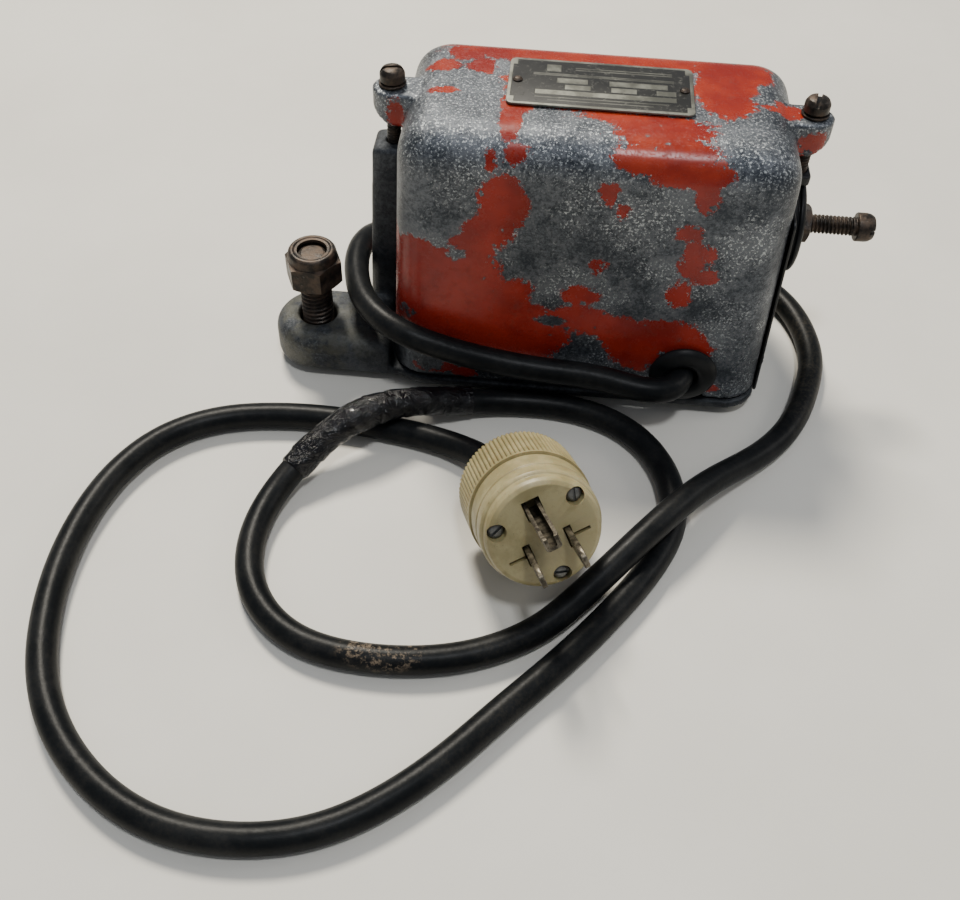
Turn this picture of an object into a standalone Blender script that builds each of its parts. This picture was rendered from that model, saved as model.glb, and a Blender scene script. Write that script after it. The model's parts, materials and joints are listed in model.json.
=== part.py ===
"""Small electromagnetic bin vibrator with its mounting bolt and supply cord.

Units are metres. X runs along the housing (mounting lug at -X, adjusting
screw at +X), Y runs from the cord side (-Y) to the back, and Z is up. The
origin is on the ground under the middle of the base.
"""
import math

import bmesh
import bpy
from mathutils import Matrix, Vector

MM = 0.001
GAP = 0.3 * MM                      # clearance left between neighbouring pieces

# Housing
COVER_LENGTH = 127 * MM             # outside, at the open bottom edge
COVER_DEPTH = 70 * MM
COVER_TOP = 100 * MM
COVER_BOTTOM = 7.3 * MM
COVER_DRAFT = 0.034                 # side slope, radians
COVER_WALL = 3.5 * MM
COVER_CORNER = 12 * MM              # upright corner radius
COVER_CROWN = 11.5 * MM             # radius round the top
EAR_X = 65 * MM                     # cover screw axis, either end
EAR_RADIUS = 6.3 * MM
EAR_LOW = 87 * MM
EAR_TOP = 97.5 * MM

# Base casting
PLATE_HALF_LENGTH = 64 * MM
PLATE_HALF_DEPTH = 36 * MM
PLATE_LOW = 4 * MM
PLATE_TOP = 7 * MM
POST_TOP = 78.3 * MM
LUG_X = -91.5 * MM
LUG_Y = -18 * MM
LUG_RADIUS = 15 * MM
LUG_TOP = 18 * MM
LUG_HOLE = 6.6 * MM

# Adjusting screw (1/4 inch, 20 threads per inch)
SCREW_Z = 58 * MM
SCREW_RADIUS = 3.1 * MM
END_X = COVER_LENGTH / 2 + 0.1 * MM     # inner face of the end plate, at the cover's foot
END_THICK = 0.8 * MM
END_HALF = 27 * MM
END_TOP = 76 * MM
END_SCREW_Y = 18 * MM
END_SCREW_Z = 13 * MM
DISC_X = 63.5 * MM                  # back of the dust disc
DISC_DEPTH = 5.6 * MM
PAD_X = 42 * MM                     # inner end of the thrust pad

# Rating plate on the cover's top
RATING_MIDDLE = (-0.8 * MM, 1.9 * MM)
RATING_HALF = (28.5 * MM, 13.6 * MM)
PIN_X = 25.6 * MM

# Magnet
STACK_HALF = 12 * MM                # half the lamination stack, along Y
CORE_LOW = 27.3 * MM
CORE_TOP = 83.3 * MM
CORE_BACK = -44 * MM
CORE_FACE = 4 * MM
LEG = 9 * MM
CENTRE_LEG = 18 * MM
CORE_MID = (CORE_LOW + CORE_TOP) / 2
AIR_GAP = 2.3 * MM
CORE_BOLT_X = (-39 * MM, -9 * MM)
CORE_BOLT_Z = 32 * MM

# Armature springs
LEAF_X = 20 * MM
LEAF_THICK = 1 * MM
LEAF_PITCH = 1.3 * MM
LEAF_COUNT = 3
PIVOT_Z = 22 * MM                   # where the leaves leave their clamp
CLAMP_Y = 7 * MM
CLAMP_Z = 14 * MM
ARM_BOLT_Z = (48.5 * MM, 68 * MM)
GROUND_SPOT = (14 * MM, -24 * MM)

# Mounting bolt (7/16 inch)
BOLT_RADIUS = 5.5 * MM
BOLT_TOP = 44 * MM
NUT_LOW = 32.7 * MM
NUT_TOP = 45.6 * MM
NUT_CORNER = 9.93 * MM
NUT_TURN = math.radians(-6)

# Supply cord and plug
CORD_RADIUS = 4.35 * MM
CORD_REST = 4.5 * MM                # centre height of a stretch lying on the ground
TAPE_RADIUS = 5.3 * MM
GROMMET_X = 36.5 * MM
GROMMET_Z = 18.8 * MM
CORD_END_Y = -24 * MM               # where the cord ends inside the cover
PLUG_X = -6.9 * MM                  # centre of the plug's face
PLUG_Y = -119.6 * MM
PLUG_HEADING = math.radians(16.5)
PLUG_TILT = math.radians(26.5)
PLUG_ROLL = math.radians(19.4)
PLUG_RADIUS = 18.2 * MM
SHELL_RADIUS = 18.8 * MM
PLUG_SPLIT = 16.5 * MM              # depth of the plug's front body
PLUG_DEPTH = 35 * MM
PLUG_RIM = 1.5 * MM                 # chamfer on the rear edge
BLADE_X = 6.35 * MM
BLADE_Y = -3.8 * MM
EARTH_Y = 8.1 * MM
CLEAR_BORE = CORD_RADIUS + GAP
# Route of the cord's centre in millimetres, from inside the cover to the plug.
CORD_ROUTE = (
    (36.5, -24, 18.8), (36.5, -31, 18.8), (36.5, -38.5, 18.8), (35.2, -43, 18.9), (31, -46, 19),
    (22, -46, 19.4),
    (8, -42.6, 20.5), (-12, -41.6, 20.7), (-32, -41.2, 23.4), (-45.5, -41, 26.8), (-58.5, -39.3, 30.2),
    (-68.4, -32.4, 31.2), (-75.2, -22, 30.8), (-78.5, -10, 30.4), (-80.1, 0, 30.6), (-78, 12, 29.5),
    (-72.5, 24.5, 23), (-63.5, 36, 14.5), (-49, 43.5, 7.6), (-28, 44.5, 4.6), (-8, 44.5, 4.5),
    (16, 44.5, 4.5),
    (40, 43.6, 4.5), (62, 39.5, 4.5), (77.5, 26.5, 4.5), (84.5, 10.5, 4.5), (86.4, -8, 4.5),
    (83.4, -22, 4.5), (75.2, -43, 4.5), (65.5, -55.5, 4.6), (54.6, -66.5, 7.6), (43, -79, 12.2),
    (33, -91, 14), (21.5, -104.5, 12.6), (8.4, -118.8, 8.2), (-6, -133.4, 4.7), (-22.4, -142.8, 4.5),
    (-36.3, -146.7, 4.5), (-51.5, -148, 4.5), (-64.7, -147, 4.5), (-77, -143.2, 4.5), (-87, -135, 4.5),
    (-93.4, -124.5, 4.5), (-95.9, -112.2, 4.5), (-95.1, -99.2, 4.6), (-91, -87.5, 6), (-84.5, -78, 9.6),
    (-75.5, -69, 14.2), (-65.5, -61.2, 15.6), (-55, -54.5, 13.4), (-44, -48.5, 9), (-33, -44.2, 5.8),
    (-18, -41.6, 4.5), (-3.5, -41.8, 4.5), (10.2, -45, 4.5), (22.6, -53, 4.5), (30.4, -63.8, 4.5),
    (34, -75.5, 4.5), (34.5, -87.5, 4.5), (31.3, -98.6, 4.5), (24.4, -111.4, 4.5), (12.6, -128.4, 4.5),
    (0.4, -143.6, 4.5), (-15.3, -161, 4.5), (-27.5, -175.1, 4.5), (-39.3, -186.3, 4.5),
    (-50.8, -194.6, 4.5), (-62.6, -200, 4.5), (-77.3, -202.8, 4.5), (-92.6, -202.4, 4.5),
    (-106.4, -198.6, 4.5), (-119.2, -191.3, 4.5), (-130.9, -180.9, 4.5), (-139.5, -169, 4.5),
    (-145, -156.5, 4.5), (-148.8, -141, 4.5), (-150.5, -123.9, 4.5), (-149.4, -105.7, 4.5),
    (-144.5, -87.4, 4.5), (-134.5, -71.6, 4.5), (-118.3, -61.2, 4.5), (-98.5, -57.2, 4.5),
    (-80, -56.8, 4.5), (-65.6, -58.4, 4.5), (-52.5, -60.4, 4.5), (-41, -63.4, 4.8), (-31.5, -68.4, 6.6),
)
TAPE_FROM = (-88.4, -83, 7.6)
TAPE_TO = (-35, -44.9, 6)

ALONG_X = Matrix.Rotation(math.pi / 2, 4, "Y")      # turns local Z to +X
ALONG_Y = Matrix.Rotation(-math.pi / 2, 4, "X")     # turns local Z to +Y
# On the end plate: local X out of its inner face, local Z up its slope.
END_FRAME = Matrix.Translation((END_X, 0, COVER_BOTTOM)) @ Matrix.Rotation(-COVER_DRAFT, 4, "Y")


# ---------------------------------------------------------------- scene set-up
for old in list(bpy.data.objects):
    bpy.data.objects.remove(old, do_unlink=True)
PARTS = bpy.data.collections.new("electromagnetic_vibrator")
bpy.context.scene.collection.children.link(PARTS)


def material(name, colour, roughness, metallic):
    """Principled material with one colour."""
    made = bpy.data.materials.new(name)
    made.use_nodes = True
    shader = made.node_tree.nodes["Principled BSDF"]
    shader.inputs["Base Color"].default_value = (*colour, 1)
    shader.inputs["Roughness"].default_value = roughness
    shader.inputs["Metallic"].default_value = metallic
    return made


ENAMEL = material("worn_red_enamel", (0.42, 0.06, 0.03), 0.45, 0.2)
CAST = material("cast_aluminium", (0.16, 0.17, 0.18), 0.6, 0.9)
RUSTY = material("rusty_steel", (0.13, 0.09, 0.07), 0.7, 0.8)
STEEL = material("spring_steel", (0.35, 0.35, 0.36), 0.35, 1.0)
BLACK_STEEL = material("blackened_steel", (0.03, 0.03, 0.035), 0.5, 0.6)
RUBBER = material("black_rubber", (0.02, 0.02, 0.022), 0.6, 0.0)
TAPE = material("electrical_tape", (0.01, 0.01, 0.01), 0.3, 0.0)
PLATE = material("nameplate_metal", (0.22, 0.21, 0.19), 0.5, 0.8)
IRON = material("core_iron", (0.2, 0.19, 0.18), 0.5, 0.9)
COPPER = material("wound_copper", (0.45, 0.2, 0.08), 0.4, 0.8)
PHENOLIC = material("brown_phenolic", (0.12, 0.06, 0.03), 0.5, 0.0)
BRASS = material("brass", (0.5, 0.38, 0.16), 0.4, 1.0)
CREAM = material("aged_cream_plastic", (0.6, 0.52, 0.33), 0.5, 0.0)
WIRE_WHITE = material("white_insulation", (0.7, 0.7, 0.66), 0.5, 0.0)
WIRE_GREEN = material("green_insulation", (0.05, 0.3, 0.1), 0.5, 0.0)


# ------------------------------------------------------------ modelling helpers
def smooth(mesh):
    """Shade the mesh smooth, with its edges over 40 degrees kept sharp."""
    mesh.shade_smooth()
    mesh.set_sharp_from_angle(angle=math.radians(40))


def keep(bm, name, skin=None, matrix=None):
    """Turn a bmesh into a named object of the part."""
    mesh = bpy.data.meshes.new(name)
    bm.to_mesh(mesh)
    bm.free()
    made = bpy.data.objects.new(name, mesh)
    PARTS.objects.link(made)
    if skin is not None:
        mesh.materials.append(skin)
    if matrix is not None:
        made.matrix_world = matrix
    smooth(mesh)
    return made


def box(name, x, y, z, skin=None, bevel=0.0):
    """Box from (low, high) pairs, its origin at its centre."""
    bm = bmesh.new()
    bmesh.ops.create_cube(bm, size=1)
    size = (x[1] - x[0], y[1] - y[0], z[1] - z[0])
    bmesh.ops.scale(bm, verts=bm.verts, vec=size)
    if bevel:
        bmesh.ops.bevel(bm, geom=bm.edges[:], offset=bevel, segments=2, profile=0.5, affect="EDGES")
    centre = Vector((sum(x) / 2, sum(y) / 2, sum(z) / 2))
    return keep(bm, name, skin, Matrix.Translation(centre))


def rod(name, start, radius, length, turn=None, skin=None, sides=24, end_radius=None, spin=0.0):
    """Cylinder, or a cone, that starts at a point and runs along its local Z."""
    bm = bmesh.new()
    tip = radius if end_radius is None else end_radius
    shift = Matrix.Translation((0, 0, length / 2)) @ Matrix.Rotation(spin, 4, "Z")
    bmesh.ops.create_cone(bm, cap_ends=True, segments=sides, radius1=radius, radius2=tip,
                          depth=length, matrix=shift)
    place = Matrix.Translation(Vector(start))
    return keep(bm, name, skin, place @ turn if turn is not None else place)


def turned(name, profile, place, skin=None, steps=32):
    """Turned piece from (radius, height) points, down its outer side; hollow when both
    ends stay off the axis, since the profile is then a closed loop."""
    mesh = bpy.data.meshes.new(name)
    points = [(r, 0, h) for r, h in profile]
    count = len(points)
    edges = [(i, i + 1) for i in range(count - 1)]
    if profile[0][0] > 0:
        edges.append((count - 1, 0))
    mesh.from_pydata(points, edges, [])
    made = bpy.data.objects.new(name, mesh)
    PARTS.objects.link(made)
    made.matrix_world = place
    screw = made.modifiers.new("turn", "SCREW")
    screw.steps = steps
    screw.render_steps = steps
    screw.use_merge_vertices = True
    screw.merge_threshold = 0.00001
    if skin is not None:
        mesh.materials.append(skin)
    return made


def solid_mesh(source):
    """Replace an object's mesh by its evaluated form and drop its modifiers."""
    bpy.context.view_layer.update()
    graph = bpy.context.evaluated_depsgraph_get()
    mesh = bpy.data.meshes.new_from_object(source.evaluated_get(graph))
    source.modifiers.clear()
    source.data = mesh
    return source


def combine(target, tools, operation):
    """Boolean the tools into the target one after another, and remove them."""
    for tool in tools:
        change = target.modifiers.new("combine", "BOOLEAN")
        change.operation = operation
        change.object = tool
        solid_mesh(target)
        bpy.data.objects.remove(tool, do_unlink=True)
    smooth(target.data)
    return target


def join(target, *tools):
    return combine(target, tools, "UNION")


def cut(target, *tools):
    return combine(target, tools, "DIFFERENCE")


def smooth_route(points, spacing):
    """Even points along the centripetal Catmull-Rom curve through a list of points."""
    knots = [Vector(p) for p in points]
    knots = [2 * knots[0] - knots[1]] + knots + [2 * knots[-1] - knots[-2]]
    dense = []
    for a, b, c, d in zip(knots, knots[1:], knots[2:], knots[3:]):
        t1 = (b - a).length ** 0.5
        t2 = t1 + (c - b).length ** 0.5
        t3 = t2 + (d - c).length ** 0.5
        for step in range(24):
            t = t1 + (t2 - t1) * step / 24
            ab = a * (t1 - t) / t1 + b * t / t1
            bc = b * (t2 - t) / (t2 - t1) + c * (t - t1) / (t2 - t1)
            cd = c * (t3 - t) / (t3 - t2) + d * (t - t2) / (t3 - t2)
            abc = ab * (t2 - t) / t2 + bc * t / t2
            bcd = bc * (t3 - t) / (t3 - t1) + cd * (t - t1) / (t3 - t1)
            dense.append(abc * (t2 - t) / (t2 - t1) + bcd * (t - t1) / (t2 - t1))
    dense.append(knots[-2])
    reach = [0.0]
    for first, second in zip(dense, dense[1:]):
        reach.append(reach[-1] + (second - first).length)
    count = max(2, round(reach[-1] / spacing))
    even = []
    at = 0
    for k in range(count + 1):
        want = reach[-1] * k / count
        while at < len(reach) - 2 and reach[at + 1] < want:
            at += 1
        share = (want - reach[at]) / (reach[at + 1] - reach[at])
        even.append(dense[at].lerp(dense[at + 1], min(1.0, share)))
    return even


def tube(name, points, radius, skin, resolution=2):
    """Round tube with closed ends along a chain of points."""
    curve = bpy.data.curves.new(name, "CURVE")
    curve.dimensions = "3D"
    curve.bevel_depth = radius
    curve.bevel_resolution = resolution
    curve.use_fill_caps = True
    spline = curve.splines.new("POLY")
    spline.points.add(len(points) - 1)
    for slot, point in zip(spline.points, points):
        slot.co = (*point, 1)
    curve.materials.append(skin)
    made = bpy.data.objects.new(name, curve)
    PARTS.objects.link(made)
    return made


def slotted(screw, centre, width, length, depth, turn=None):
    """Cut a screwdriver slot; the centre is on the head's outer face."""
    tool = box("slot", (-length, length), (-width / 2, width / 2), (-depth, depth))
    place = Matrix.Translation(Vector(centre))
    tool.matrix_world = place @ turn if turn is not None else place
    return cut(screw, tool)


def rounded_block(name, low, high, half_length, half_depth, corner, crown, skin=None):
    """Drafted block: upright corners and the top are rounded, the bottom is sharp."""
    bm = bmesh.new()
    bmesh.ops.create_cube(bm, size=2)
    slope = math.tan(COVER_DRAFT) * (high - low)
    for vert in bm.verts:
        inset = slope if vert.co.z > 0 else 0
        vert.co.x *= half_length - inset
        vert.co.y *= half_depth - inset
        vert.co.z = high if vert.co.z > 0 else low
    upright = [e for e in bm.edges if abs(e.verts[0].co.z - e.verts[1].co.z) > MM]
    bmesh.ops.bevel(bm, geom=upright, offset=corner, segments=5, profile=0.5, affect="EDGES")
    if crown:
        rim = [e for e in bm.edges if min(v.co.z for v in e.verts) > high - MM / 10]
        bmesh.ops.bevel(bm, geom=rim, offset=crown, segments=5, profile=0.5, affect="EDGES")
    return keep(bm, name, skin)


def tongue(name, root, tip, middle, half, z, round_top=0.0):
    """Block along X whose tip is a full half-round; its top rim can be rounded."""
    bm = bmesh.new()
    bmesh.ops.create_cube(bm, size=1)
    bmesh.ops.scale(bm, verts=bm.verts, vec=(abs(tip - root), 2 * half, z[1] - z[0]))
    bmesh.ops.translate(bm, verts=bm.verts, vec=((tip + root) / 2, middle, sum(z) / 2))
    nose = [e for e in bm.edges if abs(e.verts[0].co.z - e.verts[1].co.z) > MM
            and abs(e.verts[0].co.x - tip) < MM / 10]
    bmesh.ops.bevel(bm, geom=nose, offset=half - MM / 10, segments=8, profile=0.5, affect="EDGES")
    if round_top:
        rim = [e for e in bm.edges if min(v.co.z for v in e.verts) > z[1] - MM / 10
               and max(abs(v.co.x - root) for v in e.verts) > MM / 10]
        bmesh.ops.bevel(bm, geom=rim, offset=round_top, segments=3, profile=0.5, affect="EDGES")
    return keep(bm, name)


# ------------------------------------------------------------------- housing
def make_cover():
    """Cast cover: drafted shell, two ears, a cord notch and an open right end."""
    cover = rounded_block("cover_shell", COVER_BOTTOM, COVER_TOP, COVER_LENGTH / 2,
                          COVER_DEPTH / 2, COVER_CORNER, COVER_CROWN, ENAMEL)
    for side in (-1, 1):
        join(cover, tongue("ear", side * (EAR_X - 12 * MM), side * (EAR_X + EAR_RADIUS), 0,
                           EAR_RADIUS, (EAR_LOW, EAR_TOP)))
    hollow = rounded_block("hollow", COVER_BOTTOM - 2 * MM, COVER_TOP - COVER_WALL,
                           COVER_LENGTH / 2 - COVER_WALL, COVER_DEPTH / 2 - COVER_WALL,
                           COVER_CORNER - COVER_WALL, COVER_CROWN - COVER_WALL)
    cut(cover, hollow)
    for side in (-1, 1):
        cut(cover, rod("hole", (side * EAR_X, 0, EAR_LOW - MM), 2.7 * MM, 20 * MM))
    end = box("end", (50 * MM, 70 * MM), (-24 * MM, 24 * MM), (0, 74 * MM), bevel=3 * MM)
    notch = box("notch", (GROMMET_X - 8.3 * MM, GROMMET_X + 8.3 * MM), (-40 * MM, -28 * MM),
                (0, GROMMET_Z))
    eye = rod("eye", (GROMMET_X, -40 * MM, GROMMET_Z), 8.3 * MM, 12 * MM, ALONG_Y)
    cut(cover, end, notch, eye)
    for side in (-1, 1):
        cut(cover, rod("pin_hole", (RATING_MIDDLE[0] + side * PIN_X, RATING_MIDDLE[1], 90 * MM),
                       1.1 * MM, 20 * MM, sides=12))
    return cover


def make_rating_plate():
    """Blank rating plate on the top, held by two drive pins."""
    low = COVER_TOP + GAP
    x, y = RATING_MIDDLE
    bm = bmesh.new()
    bmesh.ops.create_cube(bm, size=1)
    bmesh.ops.scale(bm, verts=bm.verts, vec=(2 * RATING_HALF[0], 2 * RATING_HALF[1], 0.8 * MM))
    upright = [e for e in bm.edges if abs(e.verts[0].co.z - e.verts[1].co.z) > MM / 10]
    bmesh.ops.bevel(bm, geom=upright, offset=2.5 * MM, segments=3, profile=0.5, affect="EDGES")
    plate = keep(bm, "nameplate", PLATE, Matrix.Translation((x, y, low + 0.4 * MM)))
    for side, label in ((-1, "left"), (1, "right")):
        px = x + side * PIN_X
        cut(plate, rod("hole", (px, y, low - MM), 1.1 * MM, 3 * MM, sides=12))
        head = low + 0.8 * MM + GAP
        turned("nameplate_pin_" + label,
               ((0, head + 0.7 * MM), (0.8 * MM, head + 0.6 * MM), (1.6 * MM, head),
                (0.8 * MM, head), (0.8 * MM, 96 * MM), (0, 96 * MM)),
               Matrix.Translation((px, y, 0)), STEEL, 12)


def make_cover_screws():
    """Fillister screws and split washers that hold the cover's ears."""
    for side, label, gape, tip in ((-1, "left", 0.2, 62 * MM), (1, "right", 1.3, 75.5 * MM)):
        x = side * EAR_X
        washer = EAR_TOP + GAP
        turned("lock_washer_" + label,
               ((4.3 * MM, washer + MM), (4.3 * MM, washer), (2.7 * MM, washer),
                (2.7 * MM, washer + MM)),
               Matrix.Translation((x, 0, 0)), RUSTY, 24)
        head = washer + MM + GAP
        screw = turned("cover_screw_" + label,
                       ((0, head + 4.6 * MM), (2.6 * MM, head + 4.4 * MM), (3.6 * MM, head + 3.7 * MM),
                        (3.95 * MM, head + 2.8 * MM), (3.95 * MM, head), (2.3 * MM, head),
                        (2.3 * MM, tip), (0, tip)),
                       Matrix.Translation((x, 0, 0)), RUSTY, 24)
        solid_mesh(screw)
        slotted(screw, (x, 0, head + 4.6 * MM), 1.1 * MM, 6 * MM, 1.8 * MM,
                Matrix.Rotation(gape, 4, "Z"))


# --------------------------------------------------------------- base casting
def on_end(name, x, y, z, skin=None):
    """Box in the end plate's own frame."""
    made = box(name, x, y, z, skin)
    made.matrix_world = END_FRAME @ made.matrix_world
    return made


def end_hole(side):
    """Hole for an end-plate screw, square to the plate."""
    place = Matrix.Translation((-14 * MM, side * END_SCREW_Y, END_SCREW_Z - COVER_BOTTOM))
    made = rod("hole", (0, 0, 0), 2.1 * MM, 20 * MM, sides=16)
    made.matrix_world = END_FRAME @ place @ ALONG_X @ made.matrix_world
    return made


def make_base():
    """Base plate with mounting pad, lug, cover post, magnet seat and spring seat."""
    base = rounded_block("base_casting", PLATE_LOW, PLATE_TOP, PLATE_HALF_LENGTH,
                         PLATE_HALF_DEPTH, COVER_CORNER, 0, CAST)
    pad = box("pad", (-46 * MM, 46 * MM), (-25 * MM, 25 * MM), (0, 5 * MM))
    seat = box("seat", (-47 * MM, CORE_FACE - 6 * MM), (-17 * MM, 17 * MM), (6 * MM, 36 * MM))
    trough = box("trough", (-60 * MM, 10 * MM), (-STACK_HALF - GAP, STACK_HALF + GAP),
                 (CORE_LOW - GAP, 45 * MM))
    block = box("block", (LEAF_X + LEAF_COUNT * LEAF_PITCH, 40 * MM), (-14 * MM, 14 * MM),
                (6 * MM, PIVOT_Z))
    flange = box("flange", (56 * MM, END_X + 2 * MM), (-23 * MM, 23 * MM), (6 * MM, 19 * MM))
    beyond = on_end("beyond", (-GAP, 20 * MM), (-50 * MM, 50 * MM), (-10 * MM, 30 * MM))
    join(base, pad, seat, block, flange)
    cut(base, trough, beyond)
    post = rod("post", (-EAR_X - 1.2 * MM, 0, 5 * MM), 9 * MM, POST_TOP - 5 * MM,
               end_radius=EAR_RADIUS, sides=32)
    shave = box("shave", (0, 30 * MM), (-15 * MM, 15 * MM), (-10 * MM, 100 * MM))
    lean = Matrix.Rotation(COVER_DRAFT, 4, "Y")
    shave.matrix_world = Matrix.Translation((-COVER_LENGTH / 2 - 0.9 * MM, 0, PLATE_TOP)) @ lean \
        @ Matrix.Translation((15 * MM, 0, 45 * MM))
    cut(post, shave)
    lug = tongue("lug", -COVER_LENGTH / 2 - 0.9 * MM, LUG_X - LUG_RADIUS, LUG_Y, LUG_RADIUS,
                 (PLATE_LOW, LUG_TOP), round_top=3.5 * MM)
    foot = box("foot", (-72 * MM, -58 * MM), (-33 * MM, -3 * MM), (PLATE_LOW, PLATE_TOP))
    join(base, post, lug, foot)
    cut(base, rod("bolt_hole", (LUG_X, LUG_Y, 0), LUG_HOLE, 30 * MM, sides=32),
        rod("post_hole", (-EAR_X, 0, 60 * MM), 2.6 * MM, 30 * MM))
    for x in CORE_BOLT_X:
        cut(base, rod("hole", (x, -30 * MM, CORE_BOLT_Z), 2.4 * MM, 60 * MM, ALONG_Y, sides=16))
    for side in (-1, 1):
        cut(base, rod("hole", (10 * MM, side * CLAMP_Y, CLAMP_Z), 2.3 * MM, 26 * MM, ALONG_X, sides=16),
            end_hole(side))
    cut(base, rod("hole", (*GROUND_SPOT, 4.8 * MM), 1.8 * MM, 6 * MM, sides=12))
    return base


def make_end_plate():
    """Thin black end plate with the screw's bush and a boss for the right cover screw."""
    plate = on_end("end_plate", (0, END_THICK), (-END_HALF, END_HALF),
                   (PLATE_LOW + GAP - COVER_BOTTOM, END_TOP - COVER_BOTTOM), BLACK_STEEL)
    slope = COVER_DRAFT * (SCREW_Z - COVER_BOTTOM)
    bush = rod("bush", (56 * MM, 0, SCREW_Z), 7 * MM, END_X - slope + GAP - 56 * MM, ALONG_X)
    boss = box("boss", (61.6 * MM, 68.4 * MM), (-4.5 * MM, 4.5 * MM), (74.7 * MM, POST_TOP), bevel=0.6 * MM)
    join(plate, bush, boss)
    hole = rod("hole", (50 * MM, 0, SCREW_Z), SCREW_RADIUS + GAP, 20 * MM, ALONG_X)
    screw = rod("screw", (EAR_X, 0, 60 * MM), 2.6 * MM, 30 * MM)
    cut(plate, hole, screw)
    for side in (-1, 1):
        cut(plate, end_hole(side))
        label = "front" if side < 0 else "rear"
        place = Matrix.Translation((END_THICK + GAP, side * END_SCREW_Y, END_SCREW_Z - COVER_BOTTOM))
        fixing = turned("end_plate_screw_" + label,
                        ((0, 1.9 * MM), (1.8 * MM, 1.6 * MM), (3.2 * MM, 0), (1.8 * MM, 0),
                         (1.8 * MM, -10 * MM), (0, -10 * MM)),
                        END_FRAME @ place @ ALONG_X, BLACK_STEEL, 16)
        solid_mesh(fixing)
    return plate


def make_adjuster():
    """Rubber dust disc, lock nut, adjusting screw and the thrust pad on its tip."""
    disc = turned("dust_disc",
                  ((15.2 * MM, DISC_DEPTH - 0.7 * MM), (16.2 * MM, DISC_DEPTH - 1.6 * MM), (16.2 * MM, 0),
                   (3.5 * MM, 0), (3.5 * MM, DISC_DEPTH), (8 * MM, DISC_DEPTH - 0.1 * MM)),
                  Matrix.Translation((DISC_X, 0, SCREW_Z)) @ ALONG_X, RUBBER, 40)
    solid_mesh(disc)
    nut_x = DISC_X + DISC_DEPTH + GAP
    nut = rod("adjusting_lock_nut", (nut_x, 0, SCREW_Z), 6.4 * MM, 3.6 * MM, ALONG_X, RUSTY, 6)
    cut(nut, rod("bore", (nut_x - MM, 0, SCREW_Z), SCREW_RADIUS + GAP, 6 * MM, ALONG_X))
    screw = turned("adjusting_screw",
                   ((0, 50.6 * MM), (3.2 * MM, 50.2 * MM), (4.3 * MM, 49.2 * MM), (4.75 * MM, 48 * MM),
                    (4.75 * MM, 44.3 * MM), (SCREW_RADIUS, 44.3 * MM), (SCREW_RADIUS, 3 * MM),
                    (2.3 * MM, 2.6 * MM), (2.3 * MM, 0.3 * MM), (0, 0.3 * MM)),
                   Matrix.Translation((PAD_X + 2 * MM, 0, SCREW_Z)) @ ALONG_X, RUSTY, 32)
    solid_mesh(screw)
    slotted(screw, (PAD_X + 52.6 * MM, 0, SCREW_Z), 1.2 * MM, 7 * MM, 2.4 * MM,
            ALONG_X @ Matrix.Rotation(math.radians(20), 4, "Z"))
    pad = rod("thrust_pad", (PAD_X, 0, SCREW_Z), 5 * MM, 4.2 * MM, ALONG_X, BRASS)
    cut(pad, rod("socket", (PAD_X + 2 * MM, 0, SCREW_Z), 2.6 * MM, 5 * MM, ALONG_X))


# --------------------------------------------------------------------- magnet
def make_core():
    """E-shaped lamination stack in the seat, with its cross bolts and nuts."""
    core = box("core_laminations", (CORE_BACK, CORE_FACE), (-STACK_HALF, STACK_HALF),
               (CORE_LOW, CORE_TOP), IRON)
    half = CENTRE_LEG / 2
    for low, high in ((CORE_LOW + LEG, CORE_MID - half), (CORE_MID + half, CORE_TOP - LEG)):
        cut(core, box("window", (CORE_BACK + LEG, CORE_FACE + MM), (-20 * MM, 20 * MM), (low, high)))
    for number, x in enumerate(CORE_BOLT_X, 1):
        cut(core, rod("hole", (x, -20 * MM, CORE_BOLT_Z), 2.4 * MM, 40 * MM, ALONG_Y, sides=16))
        bolt = turned("core_bolt_%d" % number,
                      ((0, 24.5 * MM), (2.05 * MM, 24.5 * MM), (2.05 * MM, -17.3 * MM),
                       (4 * MM, -17.3 * MM), (4 * MM, -20 * MM), (0, -20 * MM)),
                      Matrix.Translation((x, 0, CORE_BOLT_Z)) @ ALONG_Y, RUSTY, 16)
        solid_mesh(bolt)
        nut = rod("core_nut_%d" % number, (x, 17.4 * MM, CORE_BOLT_Z), 4.6 * MM, 3 * MM, ALONG_Y, RUSTY, 6)
        cut(nut, rod("bore", (x, 15 * MM, CORE_BOLT_Z), 2.4 * MM, 8 * MM, ALONG_Y, sides=16))


def frame_ring(name, x, outer, inner, skin):
    """Rectangular ring round the centre leg; half sizes are (Y, Z) pairs."""
    ring = box(name, x, (-outer[0], outer[0]), (CORE_MID - outer[1], CORE_MID + outer[1]), skin)
    hole = box("hole", (x[0] - MM, x[1] + MM), (-inner[0], inner[0]),
               (CORE_MID - inner[1], CORE_MID + inner[1]))
    return cut(ring, hole)


def make_coil():
    """Bobbin on the centre leg and the winding on the bobbin."""
    bore = (STACK_HALF + GAP, CENTRE_LEG / 2 + GAP)
    tube_half = (bore[0] + 1.2 * MM, bore[1] + 1.2 * MM)
    start = CORE_BACK + LEG + GAP
    finish = CORE_FACE - 2.5 * MM
    bobbin = frame_ring("coil_bobbin", (start, finish), tube_half, bore, PHENOLIC)
    flange_half = (22 * MM, (CORE_TOP - CORE_LOW) / 2 - LEG - GAP)
    for low in (start, finish - 1.5 * MM):
        join(bobbin, frame_ring("flange", (low, low + 1.5 * MM), flange_half, bore, None))
    frame_ring("coil_winding", (start + 1.8 * MM, finish - 1.8 * MM),
               (flange_half[0] - 1.2 * MM, flange_half[1] - 0.6 * MM),
               (tube_half[0] + GAP, tube_half[1] + GAP), COPPER)


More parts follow.
